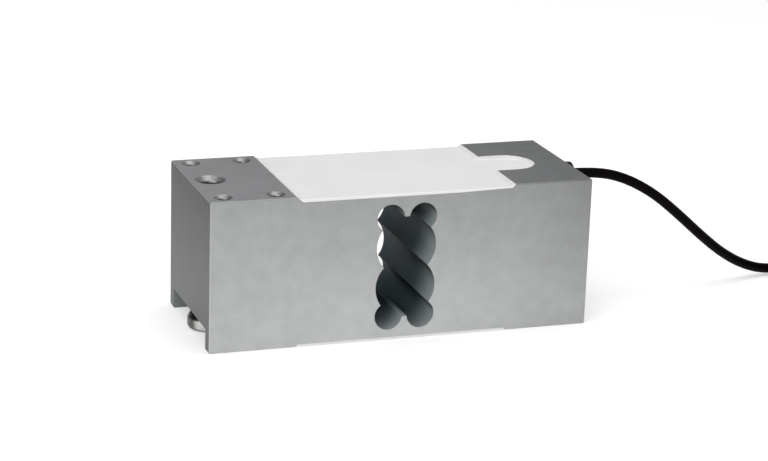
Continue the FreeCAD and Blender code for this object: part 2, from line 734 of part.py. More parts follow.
# ---------------------------------------------------------------- potting
def make_top_potting(buried):
    fill = new_body("top_potting_fill")
    side = new_sketch(fill, "potting_side", "XZ_Plane")
    left_on_ramp = f"{LOAD_EDGE} + sizes.load_ramp_run * sizes.potting_level / sizes.recess_depth"
    lip = f"({TOP} - sizes.potting_lip)"
    lip_run = "sizes.potting_lip * sizes.fixed_ramp_run / (sizes.recess_depth - sizes.runout_rise)"
    ramp_top = f"({FIXED_EDGE} - {lip_run})"
    draw_outline(
        side,
        [
            (f"{LOAD_EDGE} + sizes.load_ramp_run", FLOOR),
            (f"{FIXED_EDGE} - sizes.fixed_ramp_run - sizes.runout_length", FLOOR),
            (f"{FIXED_EDGE} - sizes.fixed_ramp_run", RUNOUT),
            (ramp_top, lip),
            (f"{ramp_top} - sizes.potting_coat", lip),
            (f"{FIXED_EDGE} - sizes.fixed_ramp_run", POTTING),
            (left_on_ramp, POTTING),
        ],
    )
    add_pad(fill, "potting_slab", side, "sizes.body_width", symmetric=True)

    round_off = new_sketch(fill, "potting_edge_view", "YZ_Plane",
                           f"{FIXED_EDGE} - sizes.fixed_ramp_run")
    for sign in "+-":
        side_face = f"0 {sign} sizes.body_width / 2"
        back_off = f"0 {sign} (sizes.body_width / 2 - sizes.potting_edge)"
        draw_outline(
            round_off,
            [
                (side_face, f"{POTTING} - sizes.potting_edge"),
                (f"0 {sign} (sizes.body_width / 2 - 0.29 * sizes.potting_edge)",
                 f"{POTTING} - 0.29 * sizes.potting_edge"),
                (back_off, POTTING),
                (back_off, TOP),
                (f"0 {sign} (sizes.body_width / 2 + 1)", TOP),
                (f"0 {sign} (sizes.body_width / 2 + 1)", f"{POTTING} - sizes.potting_edge"),
            ],
        )
    add_pocket(fill, "potting_long_edges", round_off,
               f"{FIXED_EDGE} - sizes.fixed_ramp_run - {LOAD_EDGE}")

    depth = "sizes.slot_depth - sizes.potting_lip"
    start = f"{FIXED_EDGE} - sizes.fixed_ramp_run"
    tongue = new_sketch(fill, "tongue_view", "XY_Plane", SLOT_FLOOR)
    draw_box(tongue, start, SLOT_CENTRE, f"-{SLOT_HALF}", SLOT_HALF)
    add_pad(fill, "tongue", tongue, depth)
    end = new_sketch(fill, "tongue_end_view", "XY_Plane", SLOT_FLOOR)
    draw_circle(end, SLOT_CENTRE, "0", SLOT_HALF)
    add_pad(fill, "tongue_end", end, depth)

    inner_half = f"({SLOT_HALF} - sizes.potting_coat)"
    hollow_depth = "sizes.potting_level - sizes.potting_lip"
    dish = new_sketch(fill, "dish_view", "XY_Plane", lip)
    draw_box(dish, start, SLOT_CENTRE, f"-{inner_half}", inner_half)
    add_pocket(fill, "dish", dish, hollow_depth)
    dish_end = new_sketch(fill, "dish_end_view", "XY_Plane", lip)
    draw_circle(dish_end, SLOT_CENTRE, "0", inner_half)
    add_pocket(fill, "dish_end", dish_end, hollow_depth)
    return cut("top_potting", fill, buried)


def make_bottom_potting(buried):
    fill = new_body("bottom_potting_fill")
    side = new_sketch(fill, "lower_potting_side", "XZ_Plane")
    level = "sizes.bottom_potting_gap"
    share = "sizes.relief_ramp_run * sizes.bottom_potting_gap / sizes.relief_depth"
    foot_load = f"({LOAD_END} + sizes.foot_length_load)"
    foot_fixed = f"({CABLE_END} - sizes.foot_length_fixed)"
    draw_outline(
        side,
        [
            (f"{foot_load} + {share}", level),
            (f"{foot_fixed} - {share}", level),
            (f"{foot_fixed} - sizes.relief_ramp_run", RELIEF),
            (f"{foot_load} + sizes.relief_ramp_run", RELIEF),
        ],
    )
    add_pad(fill, "lower_potting_slab", side, "sizes.body_width", symmetric=True)
    return cut("bottom_potting", fill, buried)


# ---------------------------------------------------------------- overload stop
def make_stop_screw():
    body = new_body("overload_stop_screw")
    shank_radius = "(sizes.stop_drill / 2 - sizes.stop_thread_clearance)"
    low = "sizes.stop_floor_gap"
    under_shank = f"({low} + sizes.stop_head_height)"
    tip = f"({under_shank} + sizes.stop_length)"
    profile = new_sketch(body, "stop_profile", "XZ_Plane")
    draw_outline(
        profile,
        [
            ("0", low),
            ("sizes.stop_head_radius", low),
            ("sizes.stop_head_radius", under_shank),
            (shank_radius, under_shank),
            (shank_radius, f"{tip} - sizes.stop_tip"),
            (f"{shank_radius} - sizes.stop_tip", tip),
            ("0", tip),
        ],
    )
    add_revolution(body, "stop_turned", profile)
    head = worth("sizes.stop_head_radius")
    for name, height, size in (
        ("stop_lower_round", low, "sizes.stop_head_lower_round"),
        ("stop_upper_round", under_shank, "sizes.stop_head_upper_round"),
    ):
        level = worth(height)
        dress(
            body, "Fillet", name,
            lambda edge: edge_at(edge, Z=level) and abs(edge.BoundBox.XMax - head) < 1e-4,
            size,
        )
    key = new_sketch(body, "stop_key_view", "XY_Plane", low)
    corner = "sizes.stop_key / sqrt(3)"
    draw_outline(
        key,
        [(f"{corner} * cos({60 * side})", f"{corner} * sin({60 * side})") for side in range(6)],
    )
    add_pocket(body, "stop_key_socket", key, "sizes.stop_key_depth", backwards=True)
    bind(body, "Placement.Base.x", STOP_PLACE)
    return body


# ---------------------------------------------------------------- the free cable
# along from the gland's mouth, share of the way across to the coil's first turn,
# share of the height above the floor; the last run lies on the floor along X
CABLE_ROUTE = [
    (0, 0, 1),
    (11.5, 0, 1),
    (24, -0.042, 0.931),
    (36.5, -0.073, 0.789),
    (48, -0.021, 0.599),
    (59, 0.168, 0.404),
    (70, 0.461, 0.226),
    (81.5, 0.775, 0.084),
    (93, 1, 0),
]
# relative to the coil's centre: angle round it, distance from it, height
TAIL_TURNS = [
    (72, 27.6, 14.95),
    (53, 30.2, 14.95),
    (35, 33.6, 14.9),
    (17, 36.0, 14.2),
    (-1, 36.8, 12.3),
    (-19, 36.8, 9.4),
    (-37, 36.8, 6.2),
    (-54, 36.8, 3.6),
    (-70, 36.8, 2.5),
    (-86, 36.6, 2.5),
]
# local to the sleeve: forwards, sideways, up from the cable's axis
LEAD_ROUTES = {
    "lead_red": [
        (10, 0.75, 0.75), (13, 0.75, 0.75), (18, 2.6, 0.1),
        (24, 4.9, -1.4), (30, 6.0, -1.85), (37, 5.8, -1.85),
    ],
    "lead_black": [
        (10, -0.75, 0.75), (13, -0.75, 0.75), (18, -2.4, 0.2),
        (24, -4.9, -1.2), (30, -6.9, -1.85), (37, -7.8, -1.85),
    ],
    "lead_green": [
        (10, 0.75, -0.75), (13, 0.75, -0.75), (18, 1.2, -1.5),
        (24, 2.1, -1.85), (30, 2.3, -1.85), (36, 1.8, -1.85),
    ],
    "lead_white": [
        (10, -0.75, -0.75), (13, -0.75, -0.75), (18, -1.3, -1.5),
        (24, -2.4, -1.85), (30, -3.4, -1.85), (36, -4.2, -1.85),
    ],
}
DRAIN_ROUTE = [
    (10, -1.9, -0.2), (12.5, -1.9, -0.2), (17, -3.6, -1.2),
    (23, -6.6, -2.05), (29, -9.6, -2.05), (35, -11.8, -2.05),
]


def make_coil():
    body = new_body("cable_coil")
    section = new_sketch(body, "coil_section", "XZ_Plane")
    middle = "sizes.coil_mean_radius"
    draw_box(
        section, f"{middle} - {COIL_HALF_SECTION}", f"{middle} + {COIL_HALF_SECTION}",
        "sizes.coil_base", COIL_TOP,
    )
    add_revolution(body, "coil_ring", section)
    dress(
        body, "Fillet", "coil_round",
        lambda edge: isinstance(edge.Curve, Part.Circle), f"{CABLE_RADIUS} * 0.9",
    )
    first = new_sketch(body, "coil_lead_in_view", "YZ_Plane", "-sizes.coil_lead_in")
    draw_circle(first, COIL_OUTER_TURN, COIL_FIRST_HEIGHT, CABLE_RADIUS)
    add_pad(body, "coil_lead_in_end", first, "sizes.coil_lead_in - sizes.cable_diameter / 2")
    bind(body, "Placement.Base.x", COIL_X)
    bind(body, "Placement.Base.y", "sizes.coil_y")
    return body


def coil_place(angle, distance, height):
    turned = math.radians(angle)
    return (
        worth(COIL_X) + distance * math.cos(turned),
        worth("sizes.coil_y") + distance * math.sin(turned),
        height,
    )


def cable_points():
    """The free cable from the gland's mouth to the coil's straight end."""
    mouth = worth(GLAND_MOUTH)
    low = worth(COIL_FIRST_HEIGHT)
    high = worth(CABLE_HEIGHT)
    across = worth(f"sizes.coil_y + {COIL_OUTER_TURN}")
    points = [
        (mouth + along, across * side, low + (high - low) * up) for along, side, up in CABLE_ROUTE
    ]
    return points + [(worth(f"{COIL_X} - sizes.coil_lead_in"), across, low)]


def make_tie():
    """Band round the coil's section with its lock on top, turned to its place on the ring."""
    body = new_body("cable_tie")
    middle = "sizes.coil_mean_radius"
    gap = f"({COIL_HALF_SECTION} + sizes.tie_clearance)"
    outside = f"({gap} + sizes.tie_thickness)"
    roof = f"({COIL_TOP} + sizes.tie_clearance)"
    band = new_sketch(body, "tie_view", "XZ_Plane")
    draw_box(band, f"{middle} - {outside}", f"{middle} + {outside}", "0",
             f"{roof} + sizes.tie_thickness")
    draw_box(band, f"{middle} - {gap}", f"{middle} + {gap}", "sizes.tie_thickness", roof)
    add_pad(body, "tie_band", band, "sizes.tie_width", symmetric=True)
    lock = new_sketch(body, "tie_lock_view", "XZ_Plane")
    half = "sizes.tie_head_length / 2"
    draw_box(lock, f"{middle} - {half}", f"{middle} + {half}", roof,
             f"{roof} + sizes.tie_head_height")
    add_pad(body, "tie_lock", lock, "sizes.tie_width + 2 * sizes.tie_thickness", symmetric=True)
    body.Placement = FreeCAD.Placement(
        Vector(0, 0, 0), FreeCAD.Rotation(Vector(0, 0, 1), worth("sizes.tie_angle"))
    )
    bind(body, "Placement.Base.x", COIL_X)
    bind(body, "Placement.Base.y", "sizes.coil_y")
    return body


def make_end_sleeve(place, heading):
    """Shrink sleeve: grips the jacket and closes in front of it around the leads."""
    body = new_body("cable_end_sleeve")
    ring = new_sketch(body, "sleeve_view", "YZ_Plane")
    draw_circle(ring, "0", "0", "sizes.sleeve_radius")
    add_pad(body, "sleeve", ring, "sizes.sleeve_length")
    bore = new_sketch(body, "sleeve_bore_view", "YZ_Plane")
    draw_circle(bore, "0", "0", CABLE_RADIUS)
    add_pocket(body, "sleeve_bore", bore, "sizes.sleeve_grip", backwards=True)
    front = worth("sizes.sleeve_length")
    dress(body, "Fillet", "sleeve_round", lambda edge: edge_at(edge, X=front),
          "(sizes.sleeve_radius - sizes.cable_diameter / 2) * 0.8")
    turn = FreeCAD.Rotation(Vector(1, 0, 0), heading)
    body.Placement = FreeCAD.Placement(place, turn)
    return body


def make_leads(place, heading):
    """Coloured leads, bare drain and tinned tips, fanned out on the floor."""
    turn = FreeCAD.Rotation(Vector(1, 0, 0), heading)
    shift = worth("sizes.sleeve_length") - LEAD_ROUTES["lead_red"][0][0]
    leads, tips = [], []
    for name, route in LEAD_ROUTES.items():
        moved = [(x + shift, y, z) for x, y, z in route]
        lead = add_tube(name, moved, worth("sizes.lead_diameter"))
        lead.Placement = FreeCAD.Placement(place, turn)
        leads.append(lead)
        end = Vector(*moved[-1])
        ahead = (end - Vector(*moved[-2])).normalize()
        radius = worth("sizes.tip_diameter") / 2
        tips.append(Part.makeCylinder(radius, worth("sizes.tip_length"), end, ahead))
    moved = [(x + shift, y, z) for x, y, z in DRAIN_ROUTE]
    drain = add_tube("shield_drain_wire", moved, worth("sizes.drain_diameter"))
    drain.Placement = FreeCAD.Placement(place, turn)
    group = doc.addObject("Part::Feature", "lead_tips")
    group.Label = "lead_tips"
    group.Shape = Part.makeCompound(tips)
    group.Placement = FreeCAD.Placement(place, turn)
    return leads + [drain, group]


def make_cable():
    diameter = worth("sizes.cable_diameter")
    coil = make_coil()
    cable = add_tube("cable", cable_points(), diameter, report=True)
    tail_points = [coil_place(*turn) for turn in TAIL_TURNS]
    tail_sweep = add_tube("tail_sweep", tail_points, diameter, report=True)
    tail = cut("cable_tail", tail_sweep, [coil])
    last = Vector(*tail_points[-1])
    heading = (last - Vector(*tail_points[-2])).normalize()
    place = last - heading * worth("sizes.sleeve_grip")
    return [coil, cable, tail, make_tie(), make_end_sleeve(place, heading)] + make_leads(
        place, heading
    )


# ---------------------------------------------------------------- assembly and output
def check_document():
    for thing in doc.Objects:
        if "Invalid" in thing.State or "Error" in thing.State:
            raise ValueError(f"{thing.Name} failed: {thing.State}")


def export(pieces):
    os.makedirs("parts", exist_ok=True)
    for piece in pieces:
        shape = piece.Shape
        if shape.isNull() or not shape.isValid():
            raise ValueError(f"{piece.Label} has no valid shape")
    for piece in pieces:
        piece.Shape.exportStep(f"parts/{piece.Label}.step")
        print(f"{piece.Label}: {len(piece.Shape.Solids)} solid(s), {piece.Shape.Volume:.1f} mm3")


def main():
    block = make_block()
    gauges = make_gauges()
    board, resistors = make_board()
    top_wires, bottom_wires, cores = make_wiring()
    gland = make_gland()
    seal = make_seal()
    inner_end = make_inner_end()
    doc.recompute()
    under_top = [gauges["top", "load"], gauges["top", "fixed"], board]
    under_top += resistors + [top_wires, bottom_wires, cores, inner_end]
    top_potting = make_top_potting(under_top)
    under_bottom = [gauges["bottom", "load"], gauges["bottom", "fixed"], bottom_wires]
    bottom_potting = make_bottom_potting(under_bottom)
    stop = make_stop_screw()
    cable = make_cable()
    doc.recompute()
    check_document()
    pieces = [block, top_potting, bottom_potting] + list(gauges.values())
    pieces += [board] + resistors + [top_wires, bottom_wires, cores]
    pieces += [gland, seal, inner_end, stop] + cable
    export(pieces)


main()
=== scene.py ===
import bpy
import bmesh
import json
import math
from mathutils import Matrix, Vector


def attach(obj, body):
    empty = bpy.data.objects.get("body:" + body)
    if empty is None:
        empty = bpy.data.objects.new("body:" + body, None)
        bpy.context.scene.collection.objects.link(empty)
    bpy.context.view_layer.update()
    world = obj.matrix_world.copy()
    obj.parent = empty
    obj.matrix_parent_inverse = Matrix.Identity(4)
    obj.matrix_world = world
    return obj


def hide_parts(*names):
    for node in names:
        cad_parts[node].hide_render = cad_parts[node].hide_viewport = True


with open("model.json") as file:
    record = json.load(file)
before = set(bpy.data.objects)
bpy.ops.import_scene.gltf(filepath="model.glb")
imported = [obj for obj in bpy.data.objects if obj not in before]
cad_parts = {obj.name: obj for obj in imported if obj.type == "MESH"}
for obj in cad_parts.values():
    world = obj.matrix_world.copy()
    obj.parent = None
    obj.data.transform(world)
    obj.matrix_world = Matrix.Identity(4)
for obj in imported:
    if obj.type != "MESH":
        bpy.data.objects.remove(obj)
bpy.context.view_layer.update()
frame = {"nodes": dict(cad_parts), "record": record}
scene = bpy.context.scene
mm = 0.001
print("frame loaded,", len(frame["nodes"]), "nodes")


# node helpers
def newMaterial(name):
    mat = bpy.data.materials.new(name)
    mat.use_nodes = True
    mat.node_tree.nodes.clear()
    return mat, mat.node_tree


def feed(tree, socket, value):
    # links a socket or sets a constant
    if isinstance(value, bpy.types.NodeSocket):
        tree.links.new(value, socket)
    elif socket.type == "RGBA":
        socket.default_value = (*value, 1)
    else:
        socket.default_value = value


def addNode(tree, kind, **settings):
    node = tree.nodes.new(kind)
    for key, value in settings.items():
        if key in node.inputs:
            feed(tree, node.inputs[key], value)
        else:
            setattr(node, key, value)
    return node


def arrange(tree, wide=220, tall=240):
    # columns by distance from the output, for whoever opens the tree
    column = {node.name: 0 for node in tree.nodes}
    moved = True
    while moved:
        moved = False
        for link in tree.links:
            behind = column[link.to_node.name] + 1
            if column[link.from_node.name] < behind:
                column[link.from_node.name] = behind
                moved = True
    filled = {}
    for node in tree.nodes:
        place = column[node.name]
        node.location = (-wide * place, -tall * filled.get(place, 0))
        filled[place] = filled.get(place, 0) + 1


def ramp(tree, source, stops):
    # stops are pairs of a position and a grey or a colour
    node = addNode(tree, "ShaderNodeValToRGB", Fac=source)
    points = node.color_ramp.elements
    while len(points) < len(stops):
        points.new(0.5)
    for point, (position, colour) in zip(points, stops):
        point.position = position
        point.color = (*colour, 1) if isinstance(colour, tuple) else (colour,) * 3 + (1,)
    return node.outputs["Color"]


def tonesOf(tree, noise, low, high):
    # noise lies mostly between 0.3 and 0.7
    return ramp(tree, noise, [(0.3, low), (0.7, high)])


def mathNode(tree, operation, *values):
    node = addNode(tree, "ShaderNodeMath", operation=operation)
    for socket, value in zip(node.inputs, values):
        feed(tree, socket, value)
    return node.outputs[0]


def productOf(tree, first, *others):
    for other in others:
        first = mathNode(tree, "MULTIPLY", first, other)
    return first


def mixColour(tree, amount, first, second, blend="MIX"):
    node = addNode(tree, "ShaderNodeMix", data_type="RGBA", blend_type=blend)
    for index, value in ((0, amount), (6, first), (7, second)):
        feed(tree, node.inputs[index], value)
    return node.outputs[2]


def scaleColour(tree, colour, factor):
    node = addNode(tree, "ShaderNodeVectorMath", operation="SCALE", Scale=factor)
    feed(tree, node.inputs[0], colour)
    return node.outputs[0]


def mapped(tree, value, span, ends=(0.0, 1.0), kind="SMOOTHSTEP"):
    node = addNode(tree, "ShaderNodeMapRange", interpolation_type=kind)
    names = ("Value", "From Min", "From Max", "To Min", "To Max")
    for name, number in zip(names, (value, *span, *ends)):
        feed(tree, node.inputs[name], number)
    return node.outputs["Result"]


def between(tree, value, low, high):
    return productOf(tree, mathNode(tree, "GREATER_THAN", value, low),
                     mathNode(tree, "LESS_THAN", value, high))


def towards(tree, mask, last):
    # 1 where the mask is 0, the last value where it is 1
    return mathNode(tree, "MULTIPLY_ADD", mask, last - 1.0, 1.0)


def axesOf(tree, source):
    return addNode(tree, "ShaderNodeSeparateXYZ", Vector=source).outputs


def shownRays(tree):
    # what the camera sees, straight, in a mirror or through glass
    rays = addNode(tree, "ShaderNodeLightPath").outputs
    mirrored = mathNode(tree, "MAXIMUM", rays["Is Glossy Ray"], rays["Is Transmission Ray"])
    return mathNode(tree, "MAXIMUM", rays["Is Camera Ray"], mirrored)


# plain finishes
def finishOf(look):
    # base colour from two tones of noise, roughness from finer noise, fine bump
    mat, tree = newMaterial(look["name"])
    shader = addNode(tree, "ShaderNodeBsdfPrincipled", Metallic=look.get("metal", 0.0))
    if "specular" in look:
        shader.inputs["Specular IOR Level"].default_value = look["specular"]
    addNode(tree, "ShaderNodeOutputMaterial", Surface=shader.outputs["BSDF"])
    where = addNode(tree, "ShaderNodeTexCoord").outputs
    broad = addNode(tree, "ShaderNodeTexNoise", Vector=where["Object"], Scale=look["patch"],
                    Detail=4.0)
    fine = addNode(tree, "ShaderNodeTexNoise", Vector=where["Object"], Scale=look["grain"],
                   Detail=6.0)
    tone = tonesOf(tree, broad.outputs["Fac"], look["dark"], look["light"])
    if "walls" in look:
        tone = pouredTone(tree, tone, where, look["walls"])
    dull = tonesOf(tree, fine.outputs["Fac"], *look["rough"])
    bump = addNode(tree, "ShaderNodeBump", Strength=look["bump"], Distance=look["depth"] * mm,
                   Height=fine.outputs["Fac"])
    feed(tree, shader.inputs["Base Color"], tone)
    feed(tree, shader.inputs["Roughness"], dull)
    feed(tree, shader.inputs["Normal"], bump.outputs["Normal"])
    arrange(tree)
    return mat


def pouredTone(tree, poured, where, walls):
    # painted shade where the coat climbs a wall, and a painted highlight along its free front rim
    facing, place = axesOf(tree, where["Normal"]), axesOf(tree, where["Object"])
    steep = mapped(tree, facing["Z"], walls["slope"])
    atRim = mapped(tree, place["Y"], (walls["rimFrom"] * mm, walls["rimAt"] * mm))
    steepShade = productOf(tree, steep, mathNode(tree, "SUBTRACT", 1.0, atRim))
    factor = productOf(tree, towards(tree, steepShade, walls["steepShade"]),
                       towards(tree, atRim, walls["rim"]))
    return scaleColour(tree, poured, factor)


finishes = {
    "potting": dict(
        name="whitePotting", dark=(0.767, 0.762, 0.752), light=(0.815, 0.808, 0.797),
        patch=40.0, grain=300.0, rough=(0.38, 0.5), bump=0.08, depth=0.03,
        # walls: painted shade on the steep climbs, painted highlight along the front rim
        walls=dict(steepShade=0.86, slope=(0.985, 0.75), rim=1.07, rimFrom=-29.1, rimAt=-29.7)),
    "gauge_foil": dict(
        name="gaugeFilm", dark=(0.5, 0.25, 0.06), light=(0.62, 0.36, 0.12),
        patch=300.0, grain=2500.0, rough=(0.3, 0.45), bump=0.1, depth=0.01),
    "circuit_board": dict(
        name="boardGreen", dark=(0.02, 0.2, 0.08), light=(0.05, 0.3, 0.12),
        patch=400.0, grain=2500.0, rough=(0.3, 0.5), bump=0.1, depth=0.01),
    "resistor": dict(
        name="chipBlack", dark=(0.02, 0.02, 0.022), light=(0.05, 0.05, 0.055),
        patch=600.0, grain=3000.0, rough=(0.4, 0.6), bump=0.1, depth=0.01),
    "bridge_wire": dict(
        name="enamelledCopper", metal=1.0, dark=(0.6, 0.26, 0.1), light=(0.75, 0.38, 0.18),
        patch=300.0, grain=3000.0, rough=(0.25, 0.4), bump=0.1, depth=0.01),
    "core_insulation": dict(
        name="coreInsulation", dark=(0.45, 0.4, 0.34), light=(0.6, 0.55, 0.48),
        patch=300.0, grain=2500.0, rough=(0.35, 0.5), bump=0.1, depth=0.01),
    "gland_body": dict(
        name="glandBlack", dark=(0.006, 0.006, 0.007), light=(0.014, 0.014, 0.015), specular=0.2,
        patch=200.0, grain=1800.0, rough=(0.42, 0.58), bump=0.15, depth=0.02),
    "seal_rubber": dict(
        name="sealRubber", dark=(0.005, 0.005, 0.005), light=(0.010, 0.010, 0.010), specular=0.15,
        patch=300.0, grain=2500.0, rough=(0.55, 0.75), bump=0.2, depth=0.02),
    "cable_jacket": dict(
        name="jacketBlack", dark=(0.0022, 0.0012, 0.0015), light=(0.0045, 0.0028, 0.0034),
        specular=0.03, patch=60.0, grain=1500.0, rough=(0.38, 0.5), bump=0.1, depth=0.015),
    "tie_nylon": dict(
        name="tieNylon", dark=(0.010, 0.010, 0.010), light=(0.022, 0.022, 0.022),
        patch=150.0, grain=1500.0, rough=(0.35, 0.5), bump=0.1, depth=0.02),
    "shrink_sleeve": dict(
        name="sleeveBlack", dark=(0.010, 0.010, 0.011), light=(0.025, 0.025, 0.026),
        patch=200.0, grain=1500.0, rough=(0.5, 0.65), bump=0.15, depth=0.02),
    "lead_red": dict(
        name="leadRed", dark=(0.42, 0.008, 0.008), light=(0.55, 0.02, 0.018),
        patch=300.0, grain=2500.0, rough=(0.28, 0.4), bump=0.08, depth=0.01),
    "lead_black": dict(
        name="leadBlack", dark=(0.010, 0.010, 0.010), light=(0.02, 0.02, 0.02),
        patch=300.0, grain=2500.0, rough=(0.28, 0.4), bump=0.08, depth=0.01),
    "lead_green": dict(
        name="leadGreen", dark=(0.008, 0.2, 0.04), light=(0.02, 0.3, 0.07),
        patch=300.0, grain=2500.0, rough=(0.28, 0.4), bump=0.08, depth=0.01),
    "lead_white": dict(
        name="leadWhite", dark=(0.66, 0.66, 0.65), light=(0.78, 0.78, 0.77),
        patch=300.0, grain=2500.0, rough=(0.28, 0.4), bump=0.08, depth=0.01),
    "tinned_copper": dict(
        name="tinnedCopper", metal=1.0, dark=(0.52, 0.52, 0.5), light=(0.68, 0.68, 0.66),
        patch=300.0, grain=2500.0, rough=(0.3, 0.45), bump=0.15, depth=0.01),
}
materials = {slot: finishOf(look) for slot, look in finishes.items()}

# painted light and shade: sides, pads, ends, window, pocket and mouths each get their own tone of
# the one aluminium, set by how light falls on them, and the edges get a painted highlight
metalLook = dict(
    reach=75.0, height=58.0, sideFacing=0.6, endFacing=0.8, specular=0.12,
    sideLow=(0.528, 0.533, 0.535), sideHigh=(0.360, 0.365, 0.365), sideEase=0.9,
    sideFar=0.72, farEase=3.5,
    padNear=(0.425, 0.43, 0.44), padFar=(0.228, 0.236, 0.242),
    endLow=(0.117, 0.119, 0.123), endHigh=(0.030, 0.032, 0.035), endEase=1.8,
    windowX=(-11.6, 13.0), windowZ=(3.4, 53.6),
    windowFront=(0.26, 0.287, 0.287), windowDeep=(0.037, 0.064, 0.074), deep=(-31.0, -7.0),
    lobeSlope=(-0.75, 0.15), lobeTone=(0.06, 1.12),
    pocketInside=-48.8, pocketRoof=8.1, pocketHalf=24.6, pocket=(0.20, 0.222, 0.217),
    cavityRough=0.62, cavityMetal=0.0,
    mouthX=(-74.2, -43.0), mouthHalf=28.6, mouthSlope=(0.35, 0.92),
    mouthFacing=(-0.7, 0.0), mouthTone=(1.15, 0.5),
    patchScale=18.0, patchTone=[(0.3, 0.90), (0.7, 1.02)],
    blotchScale=170.0, blotchTone=[(0.32, 0.952), (0.68, 1.045)],
    edge=(0.56, 0.57, 0.57), edgeRadius=0.35, edgeHighlightRamp=[(0.75, 1.0), (0.97, 0.0)], edgeShare=0.6,
    sideMarks=(90, 400, 2600), endMarks=(400, 2600, 60), rough=(0.41, 0.46),
    bump=0.07, depth=0.01,
)


def blockMasks(tree, place, facing):
    look = metalLook
    fromMiddle = mathNode(tree, "ABSOLUTE", place["Y"])
    end = mathNode(tree, "GREATER_THAN", mathNode(tree, "ABSOLUTE", facing["X"]),
                   look["endFacing"])
    side = mathNode(tree, "GREATER_THAN", mathNode(tree, "ABSOLUTE", facing["Y"]),
                    look["sideFacing"])
    window = productOf(tree,
                       between(tree, place["X"], *(x * mm for x in look["windowX"])),
                       between(tree, place["Z"], *(z * mm for z in look["windowZ"])),
                       mathNode(tree, "SUBTRACT", 1.0, side))
    pocket = productOf(tree,
                       mathNode(tree, "LESS_THAN", place["X"], look["pocketInside"] * mm),
                       mathNode(tree, "LESS_THAN", place["Z"], look["pocketRoof"] * mm),
                       mathNode(tree, "LESS_THAN", fromMiddle, look["pocketHalf"] * mm))
    mouth = productOf(tree,
                      between(tree, facing["Z"], *look["mouthSlope"]),
                      between(tree, place["X"], *(x * mm for x in look["mouthX"])),
                      mathNode(tree, "LESS_THAN", fromMiddle, look["mouthHalf"] * mm))
    return end, side, window, pocket, mouth


def faceTone(tree, place, end, side):
    # painted light and shade: the sides lighter at the base and darker towards the cable end, the
    # pads darker towards the cable end, the ends darker towards the top
    look = metalLook
    along = mathNode(tree, "MULTIPLY_ADD", place["X"], 0.5 / (look["reach"] * mm), 0.5)
    upwards = mathNode(tree, "DIVIDE", place["Z"], look["height"] * mm)
    sideShade = mixColour(tree, mathNode(tree, "POWER", upwards, look["sideEase"]),
                      look["sideLow"], look["sideHigh"])
    far = mathNode(tree, "POWER", along, look["farEase"])
    sideShade = scaleColour(tree, sideShade, towards(tree, far, look["sideFar"]))
    padShade = mixColour(tree, along, look["padNear"], look["padFar"])
    endShade = mixColour(tree, mathNode(tree, "POWER", upwards, look["endEase"]),
                     look["endLow"], look["endHigh"])
    return mixColour(tree, end, mixColour(tree, side, padShade, sideShade), endShade)


def mouthTone(tree, tone, facing, mouth):
    # painted light and shade on the countersunk mouths: brighter where they face the front, darker
    # where they face sideways and back
    look = metalLook
    dull = mapped(tree, facing["Y"], look["mouthFacing"], look["mouthTone"], "LINEAR")
    factor = mathNode(tree, "MULTIPLY_ADD", mathNode(tree, "SUBTRACT", dull, 1.0), mouth, 1.0)
    return scaleColour(tree, tone, factor)


def mottled(tree, tone, where):
    # mottling of the skin, broad clouds and smaller blotches
    look = metalLook
    broad = addNode(tree, "ShaderNodeTexNoise", Vector=where["Object"],
                    Scale=look["patchScale"], Detail=5.0)
    small = addNode(tree, "ShaderNodeTexNoise", Vector=where["Object"],
                    Scale=look["blotchScale"], Detail=2.5, Roughness=0.55)
    clouds = ramp(tree, broad.outputs["Fac"], look["patchTone"])
    blotches = ramp(tree, small.outputs["Fac"], look["blotchTone"])
    both = mixColour(tree, 1.0, clouds, blotches, "MULTIPLY")
    return mixColour(tree, 1.0, tone, both, "MULTIPLY")


def windowShadeTone(tree, place, facing):
    # painted shade: darker with depth from the front, and darker still where the wall overhangs
    look = metalLook
    deep = mapped(tree, place["Y"], [y * mm for y in look["deep"]])
    shadedWindow = mixColour(tree, deep, look["windowFront"], look["windowDeep"])
    return scaleColour(tree, shadedWindow,
                       mapped(tree, facing["Z"], look["lobeSlope"], look["lobeTone"]))


def edgeHighlightTone(tree, tone, roundedNormal, cavity):
    # painted highlight: lighter along the broken edges
    look = metalLook
    flat = addNode(tree, "ShaderNodeNewGeometry").outputs["True Normal"]
    same = addNode(tree, "ShaderNodeVectorMath", operation="DOT_PRODUCT")
    feed(tree, same.inputs[0], roundedNormal)
    feed(tree, same.inputs[1], flat)
    edgeHighlight = productOf(tree, ramp(tree, same.outputs["Value"], look["edgeHighlightRamp"]),
                     mathNode(tree, "SUBTRACT", 1.0, cavity), look["edgeShare"])
    return mixColour(tree, edgeHighlight, tone, look["edge"])


def toolMarks(tree, where, end):
    # along the block on its sides, up and down on its ends
    look = metalLook
    pick = addNode(tree, "ShaderNodeMix", data_type="VECTOR")
    feed(tree, pick.inputs[0], end)
    for index, scale in ((4, look["sideMarks"]), (5, look["endMarks"])):
        stretched = addNode(tree, "ShaderNodeMapping", Vector=where["Object"], Scale=scale)
        feed(tree, pick.inputs[index], stretched.outputs["Vector"])
    marks = addNode(tree, "ShaderNodeTexNoise", Vector=pick.outputs[1], Scale=1.0, Detail=5.0)
    return marks.outputs["Fac"]


